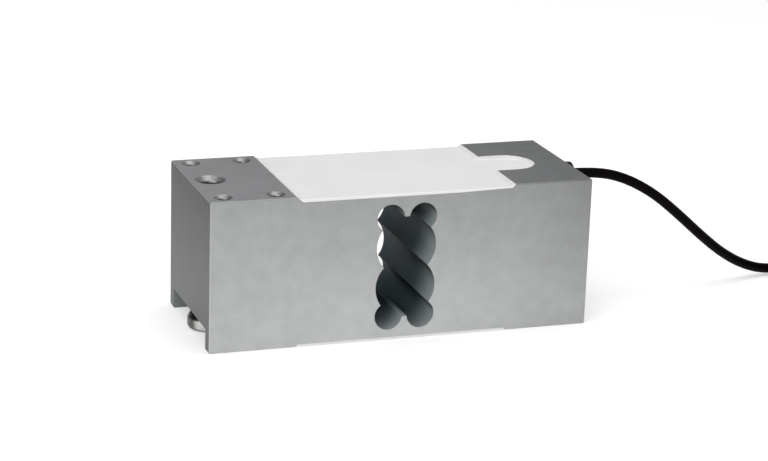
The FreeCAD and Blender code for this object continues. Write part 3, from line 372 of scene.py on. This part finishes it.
def machinedAluminium():
    look = metalLook
    mat, tree = newMaterial("machinedAluminium")
    shader = addNode(tree, "ShaderNodeBsdfPrincipled")
    shader.inputs["Specular IOR Level"].default_value = look["specular"]
    addNode(tree, "ShaderNodeOutputMaterial", Surface=shader.outputs["BSDF"])
    where = addNode(tree, "ShaderNodeTexCoord").outputs
    place, facing = axesOf(tree, where["Object"]), axesOf(tree, where["Normal"])
    end, side, window, pocket, mouth = blockMasks(tree, place, facing)
    cavity = mathNode(tree, "MAXIMUM", window, pocket)
    rounded = addNode(tree, "ShaderNodeBevel", samples=4, Radius=look["edgeRadius"] * mm)

    tone = mouthTone(tree, faceTone(tree, place, end, side), facing, mouth)
    tone = mottled(tree, tone, where)
    # painted shade inside the window
    tone = mixColour(tree, window, tone, windowShadeTone(tree, place, facing))
    # painted shade: the underside pocket gets one flat dark tone
    tone = mixColour(tree, pocket, tone, look["pocket"])
    tone = edgeHighlightTone(tree, tone, rounded.outputs["Normal"], cavity)
    feed(tree, shader.inputs["Base Color"], tone)

    marks = toolMarks(tree, where, end)
    dull = tonesOf(tree, marks, *look["rough"])
    duller = look["cavityRough"] - look["rough"][1]
    feed(tree, shader.inputs["Roughness"], mathNode(tree, "MULTIPLY_ADD", cavity, duller, dull))
    feed(tree, shader.inputs["Metallic"], towards(tree, cavity, look["cavityMetal"]))
    bump = addNode(tree, "ShaderNodeBump", Strength=look["bump"], Distance=look["depth"] * mm,
                   Height=marks, Normal=rounded.outputs["Normal"])
    feed(tree, shader.inputs["Normal"], bump.outputs["Normal"])
    arrange(tree)
    return mat


steelLook = dict(
    lit=(0.60, 0.60, 0.58), grey=(0.105, 0.108, 0.106), litFacing=(0.42, 0.74),
    upper=(0.10, 0.42), upperTone=(1.0, 0.22), lower=(-0.75, -0.15), lowerTone=(0.35, 1.0),
    marks=900.0, rough=(0.22, 0.34),
)


def screwSteel():
    # painted highlight and shade on turned steel: bright where it faces the front and back of its
    # rim, dark on its rounded upper and lower edges
    look = steelLook
    mat, tree = newMaterial("turnedSteel")
    shader = addNode(tree, "ShaderNodeBsdfPrincipled", Metallic=1.0)
    addNode(tree, "ShaderNodeOutputMaterial", Surface=shader.outputs["BSDF"])
    where = addNode(tree, "ShaderNodeTexCoord").outputs
    facing = axesOf(tree, where["Normal"])
    lit = mapped(tree, mathNode(tree, "ABSOLUTE", facing["Y"]), look["litFacing"])
    factor = productOf(tree, mapped(tree, facing["Z"], look["upper"], look["upperTone"]),
                       mapped(tree, facing["Z"], look["lower"], look["lowerTone"]))
    tone = scaleColour(tree, mixColour(tree, lit, look["grey"], look["lit"]), factor)
    marks = addNode(tree, "ShaderNodeTexNoise", Vector=where["Object"], Scale=look["marks"],
                    Detail=4.0)
    feed(tree, shader.inputs["Base Color"], tone)
    feed(tree, shader.inputs["Roughness"], tonesOf(tree, marks.outputs["Fac"], *look["rough"]))
    arrange(tree)
    return mat


materials["stop_screw_steel"] = screwSteel()
materials["aluminium"] = machinedAluminium()
slotOf = {entry["node"]: entry["material_slot"] for entry in frame["record"]["subparts"]}
for name, node in frame["nodes"].items():
    node.data.materials.clear()
    node.data.materials.append(materials[slotOf[name]])
print("materials made:", len(materials))

# camera
view = dict(place=(-0.27973, -0.8093, 0.29386), lens=108.888, sensor=36.0, clip=0.01,
            right=(0.947055, -0.319505, 0.031665), up=(0.064248, 0.285217, 0.956307),
            back=(-0.314577, -0.903641, 0.290644))
camera = bpy.data.objects.new("camera", bpy.data.cameras.new("camera"))
scene.collection.objects.link(camera)
camera.data.lens = view["lens"]
camera.data.sensor_width = view["sensor"]
camera.data.clip_start = view["clip"]
axes = Matrix((view["right"], view["up"], view["back"])).transposed().to_4x4()
camera.matrix_world = Matrix.Translation(view["place"]) @ axes
scene.camera = camera

# potting, in mm and edgeTurns in degrees: its surface climbs the walls round it
potting = dict(
    level=56.9, floor=55.9, halfWidth=29.95, edgeRound=0.40, edgeTurns=(22, 45, 67, 90),
    lip=0.14, lipReach=0.8, rampFoot=-40.97, creep=0.30, creepReach=0.5,
    waver=((0.09, 0.9, 0.0), (0.09, 1.9, 1.0), (0.07, 4.1, 2.2)),
    padEdge=43.7, slotHalf=10.5, slotCentre=51.9, slotTip=62.4, coatTop=57.95, coatWidth=0.12,
    coatFall=0.85, rampFall=1.6, coatBehind=0.5, coatDive=2.0,
    swell=0.05, swellAlong=(9.0, 1.3), swellAcross=(7.0, 31.0), swellReach=4.0,
    start=-41.7, startRun=3.0, fine=0.12, coarse=1.0, wall=(40.6, 44.2), tongueStep=0.19,
    tongueHalf=11.4, outerStep=0.55, past=0.5,
)


def steps(low, high, size):
    count = max(1, round((high - low) / size))
    return [low + (high - low) * i / count for i in range(count)]


def pottingHeight(x, y):
    look = potting
    if x <= look["slotCentre"]:
        toWall = look["slotHalf"] - abs(y)
    else:
        toWall = look["slotHalf"] - math.hypot(x - look["slotCentre"], y)
    toEdge = look["padEdge"] - x
    if toEdge >= 0 and toWall >= 0:
        away = math.hypot(toEdge, toWall)
    elif toEdge < 0 and toWall < 0:
        away = max(toEdge, toWall, -look["coatBehind"])
    else:
        away = max(toEdge, toWall)
    rise = look["coatTop"] - look["level"]
    if away <= 0:
        climb = rise + away * look["coatDive"]
    elif away < look["coatWidth"]:
        climb = rise
    else:
        fall = look["coatFall"] if toWall >= 0 else look["rampFall"]
        part = min(1.0, (away - look["coatWidth"]) / fall)
        climb = rise * (1 - part * part * (3 - 2 * part))
    creep = look["creep"] + sum(size * math.sin(y * rate + phase)
                                for size, rate, phase in look["waver"])
    creep *= math.exp(-max(0.0, x - look["rampFoot"]) / look["creepReach"])
    inward = look["halfWidth"] - abs(y)
    lip = look["lip"] * math.exp(-inward / look["lipReach"]) * (1 if x < look["padEdge"] else 0)
    (run, shift), (across, slant) = look["swellAlong"], look["swellAcross"]
    swell = look["swell"] * math.sin(x / run + shift) * math.cos(y / across + x / slant)
    swell *= min(1.0, inward / look["swellReach"])
    swell *= min(1.0, max(0.0, away) / look["swellReach"])
    return min(look["coatTop"], look["level"] + climb + creep + lip + swell)


def pottingLines():
    # pairs of (place across, drop below the surface), from the front edge to the back one, where
    # None is the potting's floor
    look = potting
    half, bead, tongue = look["halfWidth"], look["edgeRound"], look["tongueHalf"]
    inner = steps(-tongue, tongue, look["tongueStep"]) + [tongue]
    outer = steps(tongue, half - bead, look["outerStep"])[1:] + [half - bead]
    lines = [(y, 0.0) for y in [-y for y in reversed(outer)] + inner + outer]
    for angle in look["edgeTurns"]:
        turn = math.radians(angle)
        y, drop = half - bead + bead * math.sin(turn), bead * (1 - math.cos(turn))
        lines = [(-y, drop)] + lines + [(y, drop)]
    return [(-half, None)] + lines + [(half, None)]


def makePotting():
    look = potting
    lines = pottingLines()
    settled = look["start"] + look["startRun"]
    columns = steps(look["start"], settled, look["fine"])
    columns += steps(settled, look["wall"][0], look["coarse"])
    columns += steps(*look["wall"], look["fine"])
    end = look["slotTip"] + look["past"]
    tongue = steps(look["wall"][1], end, look["tongueStep"]) + [end]
    mesh = bmesh.new()
    grid = {}
    for i, x in enumerate(columns + tongue):
        for j, (y, drop) in enumerate(lines):
            if i > len(columns) and abs(y) > look["tongueHalf"]:
                continue
            z = look["floor"] if drop is None else pottingHeight(x, y) - drop
            grid[i, j] = mesh.verts.new((x * mm, y * mm, z * mm))
    for i in range(len(columns + tongue) - 1):
        for j in range(len(lines) - 1):
            corners = [grid.get(key) for key in ((i, j), (i + 1, j), (i + 1, j + 1), (i, j + 1))]
            if all(corners):
                mesh.faces.new(corners)
    data = bpy.data.meshes.new("pottingSkin")
    mesh.to_mesh(data)
    mesh.free()
    data.shade_smooth()
    piece = bpy.data.objects.new("pottingSkin", data)
    scene.collection.objects.link(piece)
    data.materials.append(materials["potting"])
    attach(piece, "root")
    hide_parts("top_potting")
    print("potting poured,", len(data.polygons), "faces")


makePotting()


# turned pieces
def finishPiece(name, mesh, slotName, smoothAngle=32):
    data = bpy.data.meshes.new(name)
    bmesh.ops.recalc_face_normals(mesh, faces=mesh.faces)
    mesh.to_mesh(data)
    mesh.free()
    data.shade_smooth()
    data.set_sharp_from_angle(angle=math.radians(smoothAngle))
    piece = bpy.data.objects.new(name, data)
    scene.collection.objects.link(piece)
    data.materials.append(materials[slotName])
    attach(piece, "root")
    return piece


def joinRings(mesh, rings, inside=False):
    for lower, upper in zip(rings, rings[1:]):
        for k in range(len(lower)):
            following = (k + 1) % len(lower)
            if inside:
                mesh.faces.new((lower[k], upper[k], upper[following], lower[following]))
            else:
                mesh.faces.new((lower[k], lower[following], upper[following], upper[k]))


def turned(name, profile, origin, axis, slotName, segments=72):
    # spins pairs of (along, radius) round an axis
    mesh = bmesh.new()
    turn = Vector((0, 0, 1)).rotation_difference(Vector(axis)).to_matrix()
    rings = []
    for along, radius in profile:
        ring = []
        for k in range(segments):
            angle = math.tau * k / segments
            spot = Vector((radius * math.cos(angle), radius * math.sin(angle), along))
            ring.append(mesh.verts.new((Vector(origin) + turn @ spot) * mm))
        rings.append(ring)
    joinRings(mesh, rings)
    return finishPiece(name, mesh, slotName)


def uprightRing(mesh, centre, height, radii):
    # vertices round a vertical axis, one radius for each step
    angles = [math.tau * k / len(radii) for k in range(len(radii))]
    return [mesh.verts.new(((centre[0] + radius * math.cos(angle)) * mm,
                            (centre[1] + radius * math.sin(angle)) * mm, height * mm))
            for radius, angle in zip(radii, angles)]


def threadRings(mesh, centre, start, radii, pitch, length, perTurn, segments, way, hand):
    # from the first radius to the second and back in each pitch, faded in over the first turn;
    # way is 1 upwards or -1 downwards, and hand is which way round it winds
    plain, tooth = radii
    rings = []
    for i in range(int(length / pitch * perTurn) + 1):
        fade = min(1.0, i / perTurn)
        phases = [(i / perTurn + hand * k / segments) % 1.0 for k in range(segments)]
        spans = [plain - (plain - tooth) * (1 - abs(2 * phase - 1)) * fade for phase in phases]
        rings.append(uprightRing(mesh, centre, start + way * i * pitch / perTurn, spans))
    return rings


def rounding(along, radius, size, start, end, count=6):
    # quarter arc round a corner's centre, from one angle to another in degrees
    return [(along + size * math.sin(math.radians(a)), radius + size * math.cos(math.radians(a)))
            for a in (start + (end - start) * k / count for k in range(count + 1))]


threads = dict(
    rows=(-68.7, -48.7), baseRows=(48.7, 68.7), sides=(-24.0, 24.0), top=58.0, mouth=1.1,
    depth=12.5, radii=(2.52, 2.2), pitch=1.0, perTurn=6, segments=40,
    stopPlace=(-67.2, 0.0), stopMouth=1.65, stopDepth=19.5, stopRadii=(4.27, 3.85),
    stopPitch=1.5, stopSegments=64, smoothAngle=60,
)


def tappedHole(name, centre, start, depth, radii, pitch, segments, way):
    # helical ridge that lines a tapped hole, from its mouth into the metal
    mesh = bmesh.new()
    joinRings(mesh, threadRings(mesh, centre, start, radii, pitch, depth, threads["perTurn"],
                                segments, way, 1), inside=True)
    finishPiece(name, mesh, "aluminium", threads["smoothAngle"])


def makeThreads():
    look = threads
    for prefix, rows, start, way in (("loadThread", look["rows"], look["top"] - look["mouth"], -1),
                                     ("baseThread", look["baseRows"], look["mouth"], 1)):
        for row, x in enumerate(rows):
            for side, y in enumerate(look["sides"]):
                tappedHole(f"{prefix}{row}{side}", (x, y), start, look["depth"], look["radii"],
                           look["pitch"], look["segments"], way)
    tappedHole("stopThread", look["stopPlace"], look["top"] - look["stopMouth"],
               look["stopDepth"], look["stopRadii"], look["stopPitch"], look["stopSegments"], -1)
    print("threads cut")


makeThreads()

stopScrew = dict(
    place=(-67.2, 0.0), low=0.1, headHeight=6.35, headRadius=8.3, lowerRound=1.7, upperRound=2.8,
    collar=0.4, radii=(4.2, 3.75), pitch=1.5, length=30.0, tip=0.8, tipInset=0.3,
    key=6.0, keyDepth=3.2, keyMouth=0.35, keyChamfer=0.8, keyDish=0.05, keyLip=0.25,
    headSegments=96, shankSegments=64, perTurn=8, socketAngle=25, shankAngle=50,
)


def makeStopScrew():
    # round head with a hexagon socket below, threaded shank above
    look = stopScrew
    centre, low, radius = look["place"], look["low"], look["headRadius"]
    high = low + look["headHeight"]
    corner = look["key"] / math.sqrt(3)
    mouth = (low + look["keyDish"], corner + look["keyMouth"])
    profile = [mouth, (low, corner + look["keyChamfer"])]
    profile += rounding(low + look["lowerRound"], radius - look["lowerRound"],
                        look["lowerRound"], -90, 0, 8)
    profile += rounding(high - look["upperRound"], radius - look["upperRound"],
                        look["upperRound"], 0, 90, 8)
    profile += [(high, look["radii"][0] + look["collar"])]
    head = turned("stopScrewHead", profile, (*centre, 0), (0, 0, 1), "stop_screw_steel",
                  look["headSegments"])
    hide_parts("overload_stop_screw")

    count = look["headSegments"]
    sixth = math.pi / 3
    hexagon = []
    for k in range(count):
        off = (math.tau * k / count + sixth / 2) % sixth - sixth / 2
        hexagon.append(look["key"] / 2 / math.cos(sixth / 2 - abs(off)) if off else corner)
    mesh = bmesh.new()
    rings = [uprightRing(mesh, centre, mouth[0], [mouth[1]] * count),
             uprightRing(mesh, centre, low + look["keyLip"], hexagon),
             uprightRing(mesh, centre, low + look["keyDepth"], hexagon)]
    joinRings(mesh, rings, inside=True)
    mesh.faces.new(rings[-1])
    finishPiece("stopScrewSocket", mesh, "stop_screw_steel", look["socketAngle"])

    mesh = bmesh.new()
    segments = look["shankSegments"]
    rings = threadRings(mesh, centre, high, look["radii"], look["pitch"],
                        look["length"] - look["tip"], look["perTurn"], segments, 1, -1)
    rings.append(uprightRing(mesh, centre, high + look["length"],
                             [look["radii"][1] - look["tipInset"]] * segments))
    joinRings(mesh, rings)
    mesh.faces.new(rings[-1])
    finishPiece("stopScrewShank", mesh, "stop_screw_steel", look["shankAngle"])
    print("stop screw turned")


makeStopScrew()

# cable gland: profiles run along the cable, from the block's end face and from the gland's mouth
gland = dict(
    axis=52.0, face=75.0, stand=4.0, radius=4.7, edge=0.6, bore=2.1, boreEdge=(0.02, 0.3),
    collar=0.35, groove=[(1.3, 0.0), (1.45, -0.15), (1.75, -0.15), (1.9, 0.0)],
    sealRadius=3.2, sealChamfer=0.15, seatDepth=2.9,
    nose=[(-2.8, 3.18), (0.0, 3.17), (0.25, 3.08), (0.45, 2.9), (0.58, 2.5), (0.6, 2.35),
          (0.5, 2.02), (0.2, 1.98)],
)


def makeGland():
    look = gland
    radius, stand, collar, edge = (look[key] for key in ("radius", "stand", "collar", "edge"))
    seat, chamfer = look["sealRadius"], look["sealChamfer"]
    inset, widen = look["boreEdge"]
    profile = [(inset, look["bore"] + widen), (0.0, radius - collar)]
    profile += rounding(collar, radius - collar, collar, -90, 0, 3)
    profile += [(along, radius + out) for along, out in look["groove"]]
    profile += rounding(stand - edge, radius - edge, edge, 0, 90, 5)
    profile += [(stand, seat + chamfer), (stand - chamfer, seat),
                (stand - look["seatDepth"], seat)]
    ring = turned("glandRing", profile, (look["face"], 0, look["axis"]), (1, 0, 0), "gland_body")
    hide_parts("cable_gland")
    seal = turned("glandSeal", look["nose"], (look["face"] + stand, 0, look["axis"]), (1, 0, 0),
                  "seal_rubber")
    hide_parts("gland_seal")
    return [ring, seal]


glandPieces = makeGland()
print("gland made")

# tie round the coil, seen along the turns: its lock and a short cut tail lie on top
tie = dict(
    angle=200.0, centre=(201.0, -20.0), middle=23.4, halfWide=8.4, roof=17.2,
    thick=0.6, width=4.0, bend=2.2, bendSteps=8, lockLength=6.0, lockHeight=2.6, lockWidth=5.2,
    lockGap=0.02, lockTaper=(0.6, 0.3, 0.4), lockBevel=0.35,
    tail=7.0, tailInside=1.0, tailSteps=8, tailHeight=1.35, tailRise=0.7, tailBend=1.9,
    tailHalf=(1.8, 0.3), tailTip=(0.9, 0.8),
)


def tiePlace(mesh, x, y, z):
    turn = Matrix.Rotation(math.radians(tie["angle"]), 3, "Z")
    return mesh.verts.new((turn @ Vector((x, y, z)) + Vector((*tie["centre"], 0))) * mm)


def strapSection(mesh, x, z, half, thick, out=(0, 1)):
    # the strap's four corners at one place; out points away from the coil
    return [tiePlace(mesh, x + out[0] * t, w, z + out[1] * t)
            for w, t in ((-half, -thick), (half, -thick), (half, thick), (-half, thick))]


def makeTieBand():
    look = tie
    half, thick = look["width"] / 2, look["thick"] / 2
    bend, count = look["bend"], look["bendSteps"]
    low, high = thick, look["roof"] + thick
    left = look["middle"] - look["halfWide"] - thick
    right = look["middle"] + look["halfWide"] + thick
    loop = []
    for x, z, start in ((right - bend, high - bend, 90), (right - bend, low + bend, 0),
                        (left + bend, low + bend, -90), (left + bend, high - bend, -180)):
        for k in range(count + 1):
            angle = math.radians(start - 90 * k / count)
            loop.append((x + bend * math.cos(angle), z + bend * math.sin(angle)))
    mesh = bmesh.new()
    rings = []
    for i, (x, z) in enumerate(loop):
        before, after = loop[i - 1], loop[(i + 1) % len(loop)]
        along = Vector((after[0] - before[0], after[1] - before[1])).normalized()
        rings.append(strapSection(mesh, x, z, half, thick, (-along.y, along.x)))
    joinRings(mesh, rings + [rings[0]], inside=True)
    return finishPiece("tieBand", mesh, "tie_nylon")


def makeTieLock():
    look = tie
    mesh = bmesh.new()
    x0, x1 = look["middle"] - look["lockLength"] / 2, look["middle"] + look["lockLength"] / 2
    y1 = look["lockWidth"] / 2
    low, high = look["roof"] + look["lockGap"], look["roof"] + look["lockHeight"]
    back, front, sides = look["lockTaper"]
    base = [tiePlace(mesh, x, y, low) for x, y in ((x0, -y1), (x1, -y1), (x1, y1), (x0, y1))]
    x0, x1, y1 = x0 + back, x1 - front, y1 - sides
    top = [tiePlace(mesh, x, y, high) for x, y in ((x0, -y1), (x1, -y1), (x1, y1), (x0, y1))]
    mesh.faces.new(list(reversed(base)))
    mesh.faces.new(top)
    joinRings(mesh, [base, top])
    bmesh.ops.bevel(mesh, geom=list(mesh.edges), offset=look["lockBevel"] * mm, segments=3,
                    affect="EDGES")
    return finishPiece("tieLock", mesh, "tie_nylon")


def makeTieTail():
    look = tie
    mesh = bmesh.new()
    start = look["middle"] + look["lockLength"] / 2 - look["tailInside"]
    half, thick = look["tailHalf"]
    tipFrom, tipShare = look["tailTip"]
    rings = []
    for k in range(look["tailSteps"] + 1):
        part = k / look["tailSteps"]
        x = start + look["tail"] * part
        rise = look["tailRise"] * math.sin(part * look["tailBend"])
        z = look["roof"] + look["tailHeight"] + rise
        share = 1 if part < tipFrom else tipShare
        rings.append(strapSection(mesh, x, z, half * share, thick))
    joinRings(mesh, rings, inside=True)
    mesh.faces.new(rings[0])
    mesh.faces.new(list(reversed(rings[-1])))
    return finishPiece("tieTail", mesh, "tie_nylon")


tieBand = makeTieBand()
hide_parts("cable_tie")
tiePieces = [tieBand, makeTieLock(), makeTieTail()]
print("tie closed")

# free cable: its run to the coil, then stages of (turns, way in or out, climb), then its tail as
# (angle, distance, height) round the coil
cable = dict(
    diameter=4.0,
    run=[(79, 0, 52), (90.5, 0, 52), (103, -0.4, 48.6), (115.5, -0.7, 41.6), (127, -0.2, 32.2),
         (138, 1.6, 22.6), (149, 4.4, 13.8), (160.5, 7.4, 6.8), (172, 9.55, 2.65),
         (184, 9.55, 2.65)],
    stages=[(3, -1, 0), (0.25, 0, 1), (3, 1, 0), (0.25, 0, 1), (3, -1, 0), (0.25, 0, 1),
            (2.25, 1, 0)],
    tail=[(72, 27.6, 14.95), (53, 30.2, 14.95), (35, 33.6, 14.9), (17, 36.0, 14.2),
          (-1, 36.8, 12.3), (-19, 36.8, 9.4), (-37, 36.8, 6.2), (-54, 36.8, 3.6),
          (-70, 36.8, 2.5), (-86, 36.6, 2.5)],
    coilCentre=(201, -20), outerTurn=29.55, firstHeight=2.65, pitch=4.1, pointsPerTurn=16,
)


def aroundCoil(angle, distance, height):
    bearing = math.radians(angle)
    x, y = cable["coilCentre"]
    return (x + distance * math.cos(bearing), y + distance * math.sin(bearing), height)


def coilTurns():
    # spiral in, climb a quarter turn, spiral out, climb: layer on layer
    step = 1 / cable["pointsPerTurn"]
    # the spline cuts its corners, so its points stand a little further out
    widen = 1 / (0.75 + 0.25 * math.cos(math.tau * step))
    radius, height, done = cable["outerTurn"], cable["firstHeight"], 0.0
    points = []
    for turns, way, climb in cable["stages"]:
        for count in range(round(turns / step)):
            points.append(aroundCoil(90 - 360 * done, radius * widen, height))
            done += step
            radius += way * cable["pitch"] * step
            height += climb * cable["pitch"] * step / turns
    points.append(aroundCoil(90 - 360 * done, radius * widen, height))
    return points


def newLine(name, points, resolution):
    curve = bpy.data.curves.new(name, "CURVE")
    curve.dimensions = "3D"
    curve.resolution_u = resolution
    line = curve.splines.new("NURBS")
    line.points.add(len(points) - 1)
    for point, place in zip(line.points, points):
        point.co = (place[0] * mm, place[1] * mm, place[2] * mm, 1)
    line.order_u = 3
    line.use_endpoint_u = True
    return curve


def lengthOf(points):
    # length of the spline without its bevel
    holder = bpy.data.objects.new("measure", newLine("measure", points, 12))
    mesh = bpy.data.meshes.new_from_object(holder)
    total = sum((mesh.vertices[a].co - mesh.vertices[b].co).length for a, b in
                (edge.vertices for edge in mesh.edges))
    bpy.data.objects.remove(holder)
    bpy.data.meshes.remove(mesh)
    return total


route = cable["run"] + coilTurns() + [aroundCoil(*turn) for turn in cable["tail"]]
cableLength = lengthOf(route)
print("cable length", round(cableLength, 3))
cableCurve = newLine("cableLine", route, 6)
cableCurve.bevel_depth = cable["diameter"] / 2 * mm
cableCurve.bevel_resolution = 7
cableCurve.use_fill_caps = True
cableCurve.materials.append(materials["cable_jacket"])
cablePiece = bpy.data.objects.new("cableLine", cableCurve)
scene.collection.objects.link(cablePiece)
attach(cablePiece, "root")
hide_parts("cable", "cable_coil", "cable_tail")
nodes = frame["nodes"]
endPieces = glandPieces + tiePieces
endPieces += [nodes[name] for name in ("cable_inner_end", "cable_end_sleeve", "lead_red",
                                       "lead_black", "lead_green", "lead_white",
                                       "shield_drain_wire", "lead_tips")]
print("cable laid")

# floor, world and lamps, in metres
stageLook = dict(
    floorHalf=6.0, floorColour=(0.74, 0.74, 0.74), floorLift=(0.41, 0.7), liftSpan=(0.8, 2.2),
    worldLight=0.45, worldColour=(0.97, 0.98, 1),
    sky=[(0.0, 1.0), (0.12, 0.9), (0.3, 0.45), (0.6, 0.25), (1.0, 0.25)],
    aim=(0, 0, 0.03),
)
lamps = {
    "keyLight": dict(place=(-0.75, -0.9, 0.62), size=(1.3, 0.9), power=10.0),
    "topLight": dict(place=(0.1, 0.1, 1.2), size=(1.0, 0.8), power=6.0),
}


def makeFloor():
    mesh = bpy.data.meshes.new("floor")
    half = stageLook["floorHalf"]
    mesh.from_pydata([(-half, -half, 0), (half, -half, 0), (half, half, 0), (-half, half, 0)], [],
                     [(0, 1, 2, 3)])
    floor = bpy.data.objects.new("floor", mesh)
    scene.collection.objects.link(floor)
    mat, tree = newMaterial("paleFloor")
    paper = addNode(tree, "ShaderNodeBsdfDiffuse", Color=stageLook["floorColour"])
    # the lamps fade with distance, and the lift makes up for it
    where = addNode(tree, "ShaderNodeTexCoord")
    distance = addNode(tree, "ShaderNodeVectorMath", operation="LENGTH")
    feed(tree, distance.inputs[0], where.outputs["Object"])
    lifted = mapped(tree, distance.outputs["Value"], stageLook["liftSpan"],
                    stageLook["floorLift"])
    lift = addNode(tree, "ShaderNodeEmission", Color=(1, 1, 1),
                   Strength=productOf(tree, shownRays(tree), lifted))
    both = addNode(tree, "ShaderNodeAddShader")
    feed(tree, both.inputs[0], paper.outputs[0])
    feed(tree, both.inputs[1], lift.outputs[0])
    addNode(tree, "ShaderNodeOutputMaterial", Surface=both.outputs[0])
    arrange(tree)
    mesh.materials.append(mat)


def makeWorld():
    # white round the horizon, darker overhead, the same for what is seen and what metal mirrors
    world = bpy.data.worlds.new("studio")
    world.use_nodes = True
    scene.world = world
    tree = world.node_tree
    tree.nodes.clear()
    height = axesOf(tree, addNode(tree, "ShaderNodeTexCoord").outputs["Generated"])["Z"]
    seen = addNode(tree, "ShaderNodeBackground", Color=ramp(tree, height, stageLook["sky"]),
                   Strength=1.0)
    lit = addNode(tree, "ShaderNodeBackground", Color=stageLook["worldColour"],
                  Strength=stageLook["worldLight"])
    pick = addNode(tree, "ShaderNodeMixShader")
    for socket, value in zip(pick.inputs, (shownRays(tree), lit.outputs[0], seen.outputs[0])):
        feed(tree, socket, value)
    addNode(tree, "ShaderNodeOutputWorld", Surface=pick.outputs[0])
    arrange(tree)


def makeLamp(name, look):
    lamp = bpy.data.lights.new(name, "AREA")
    lamp.shape = "RECTANGLE"
    lamp.size, lamp.size_y = look["size"]
    lamp.energy = look["power"]
    box = bpy.data.objects.new(name, lamp)
    scene.collection.objects.link(box)
    box.location = look["place"]
    box.rotation_mode = "QUATERNION"
    away = Vector(look["place"]) - Vector(stageLook["aim"])
    box.rotation_quaternion = away.to_track_quat("Z", "Y")


makeFloor()
makeWorld()
for name, look in lamps.items():
    makeLamp(name, look)
scene.view_settings.view_transform = "Standard"
print("floor, world and lights made")
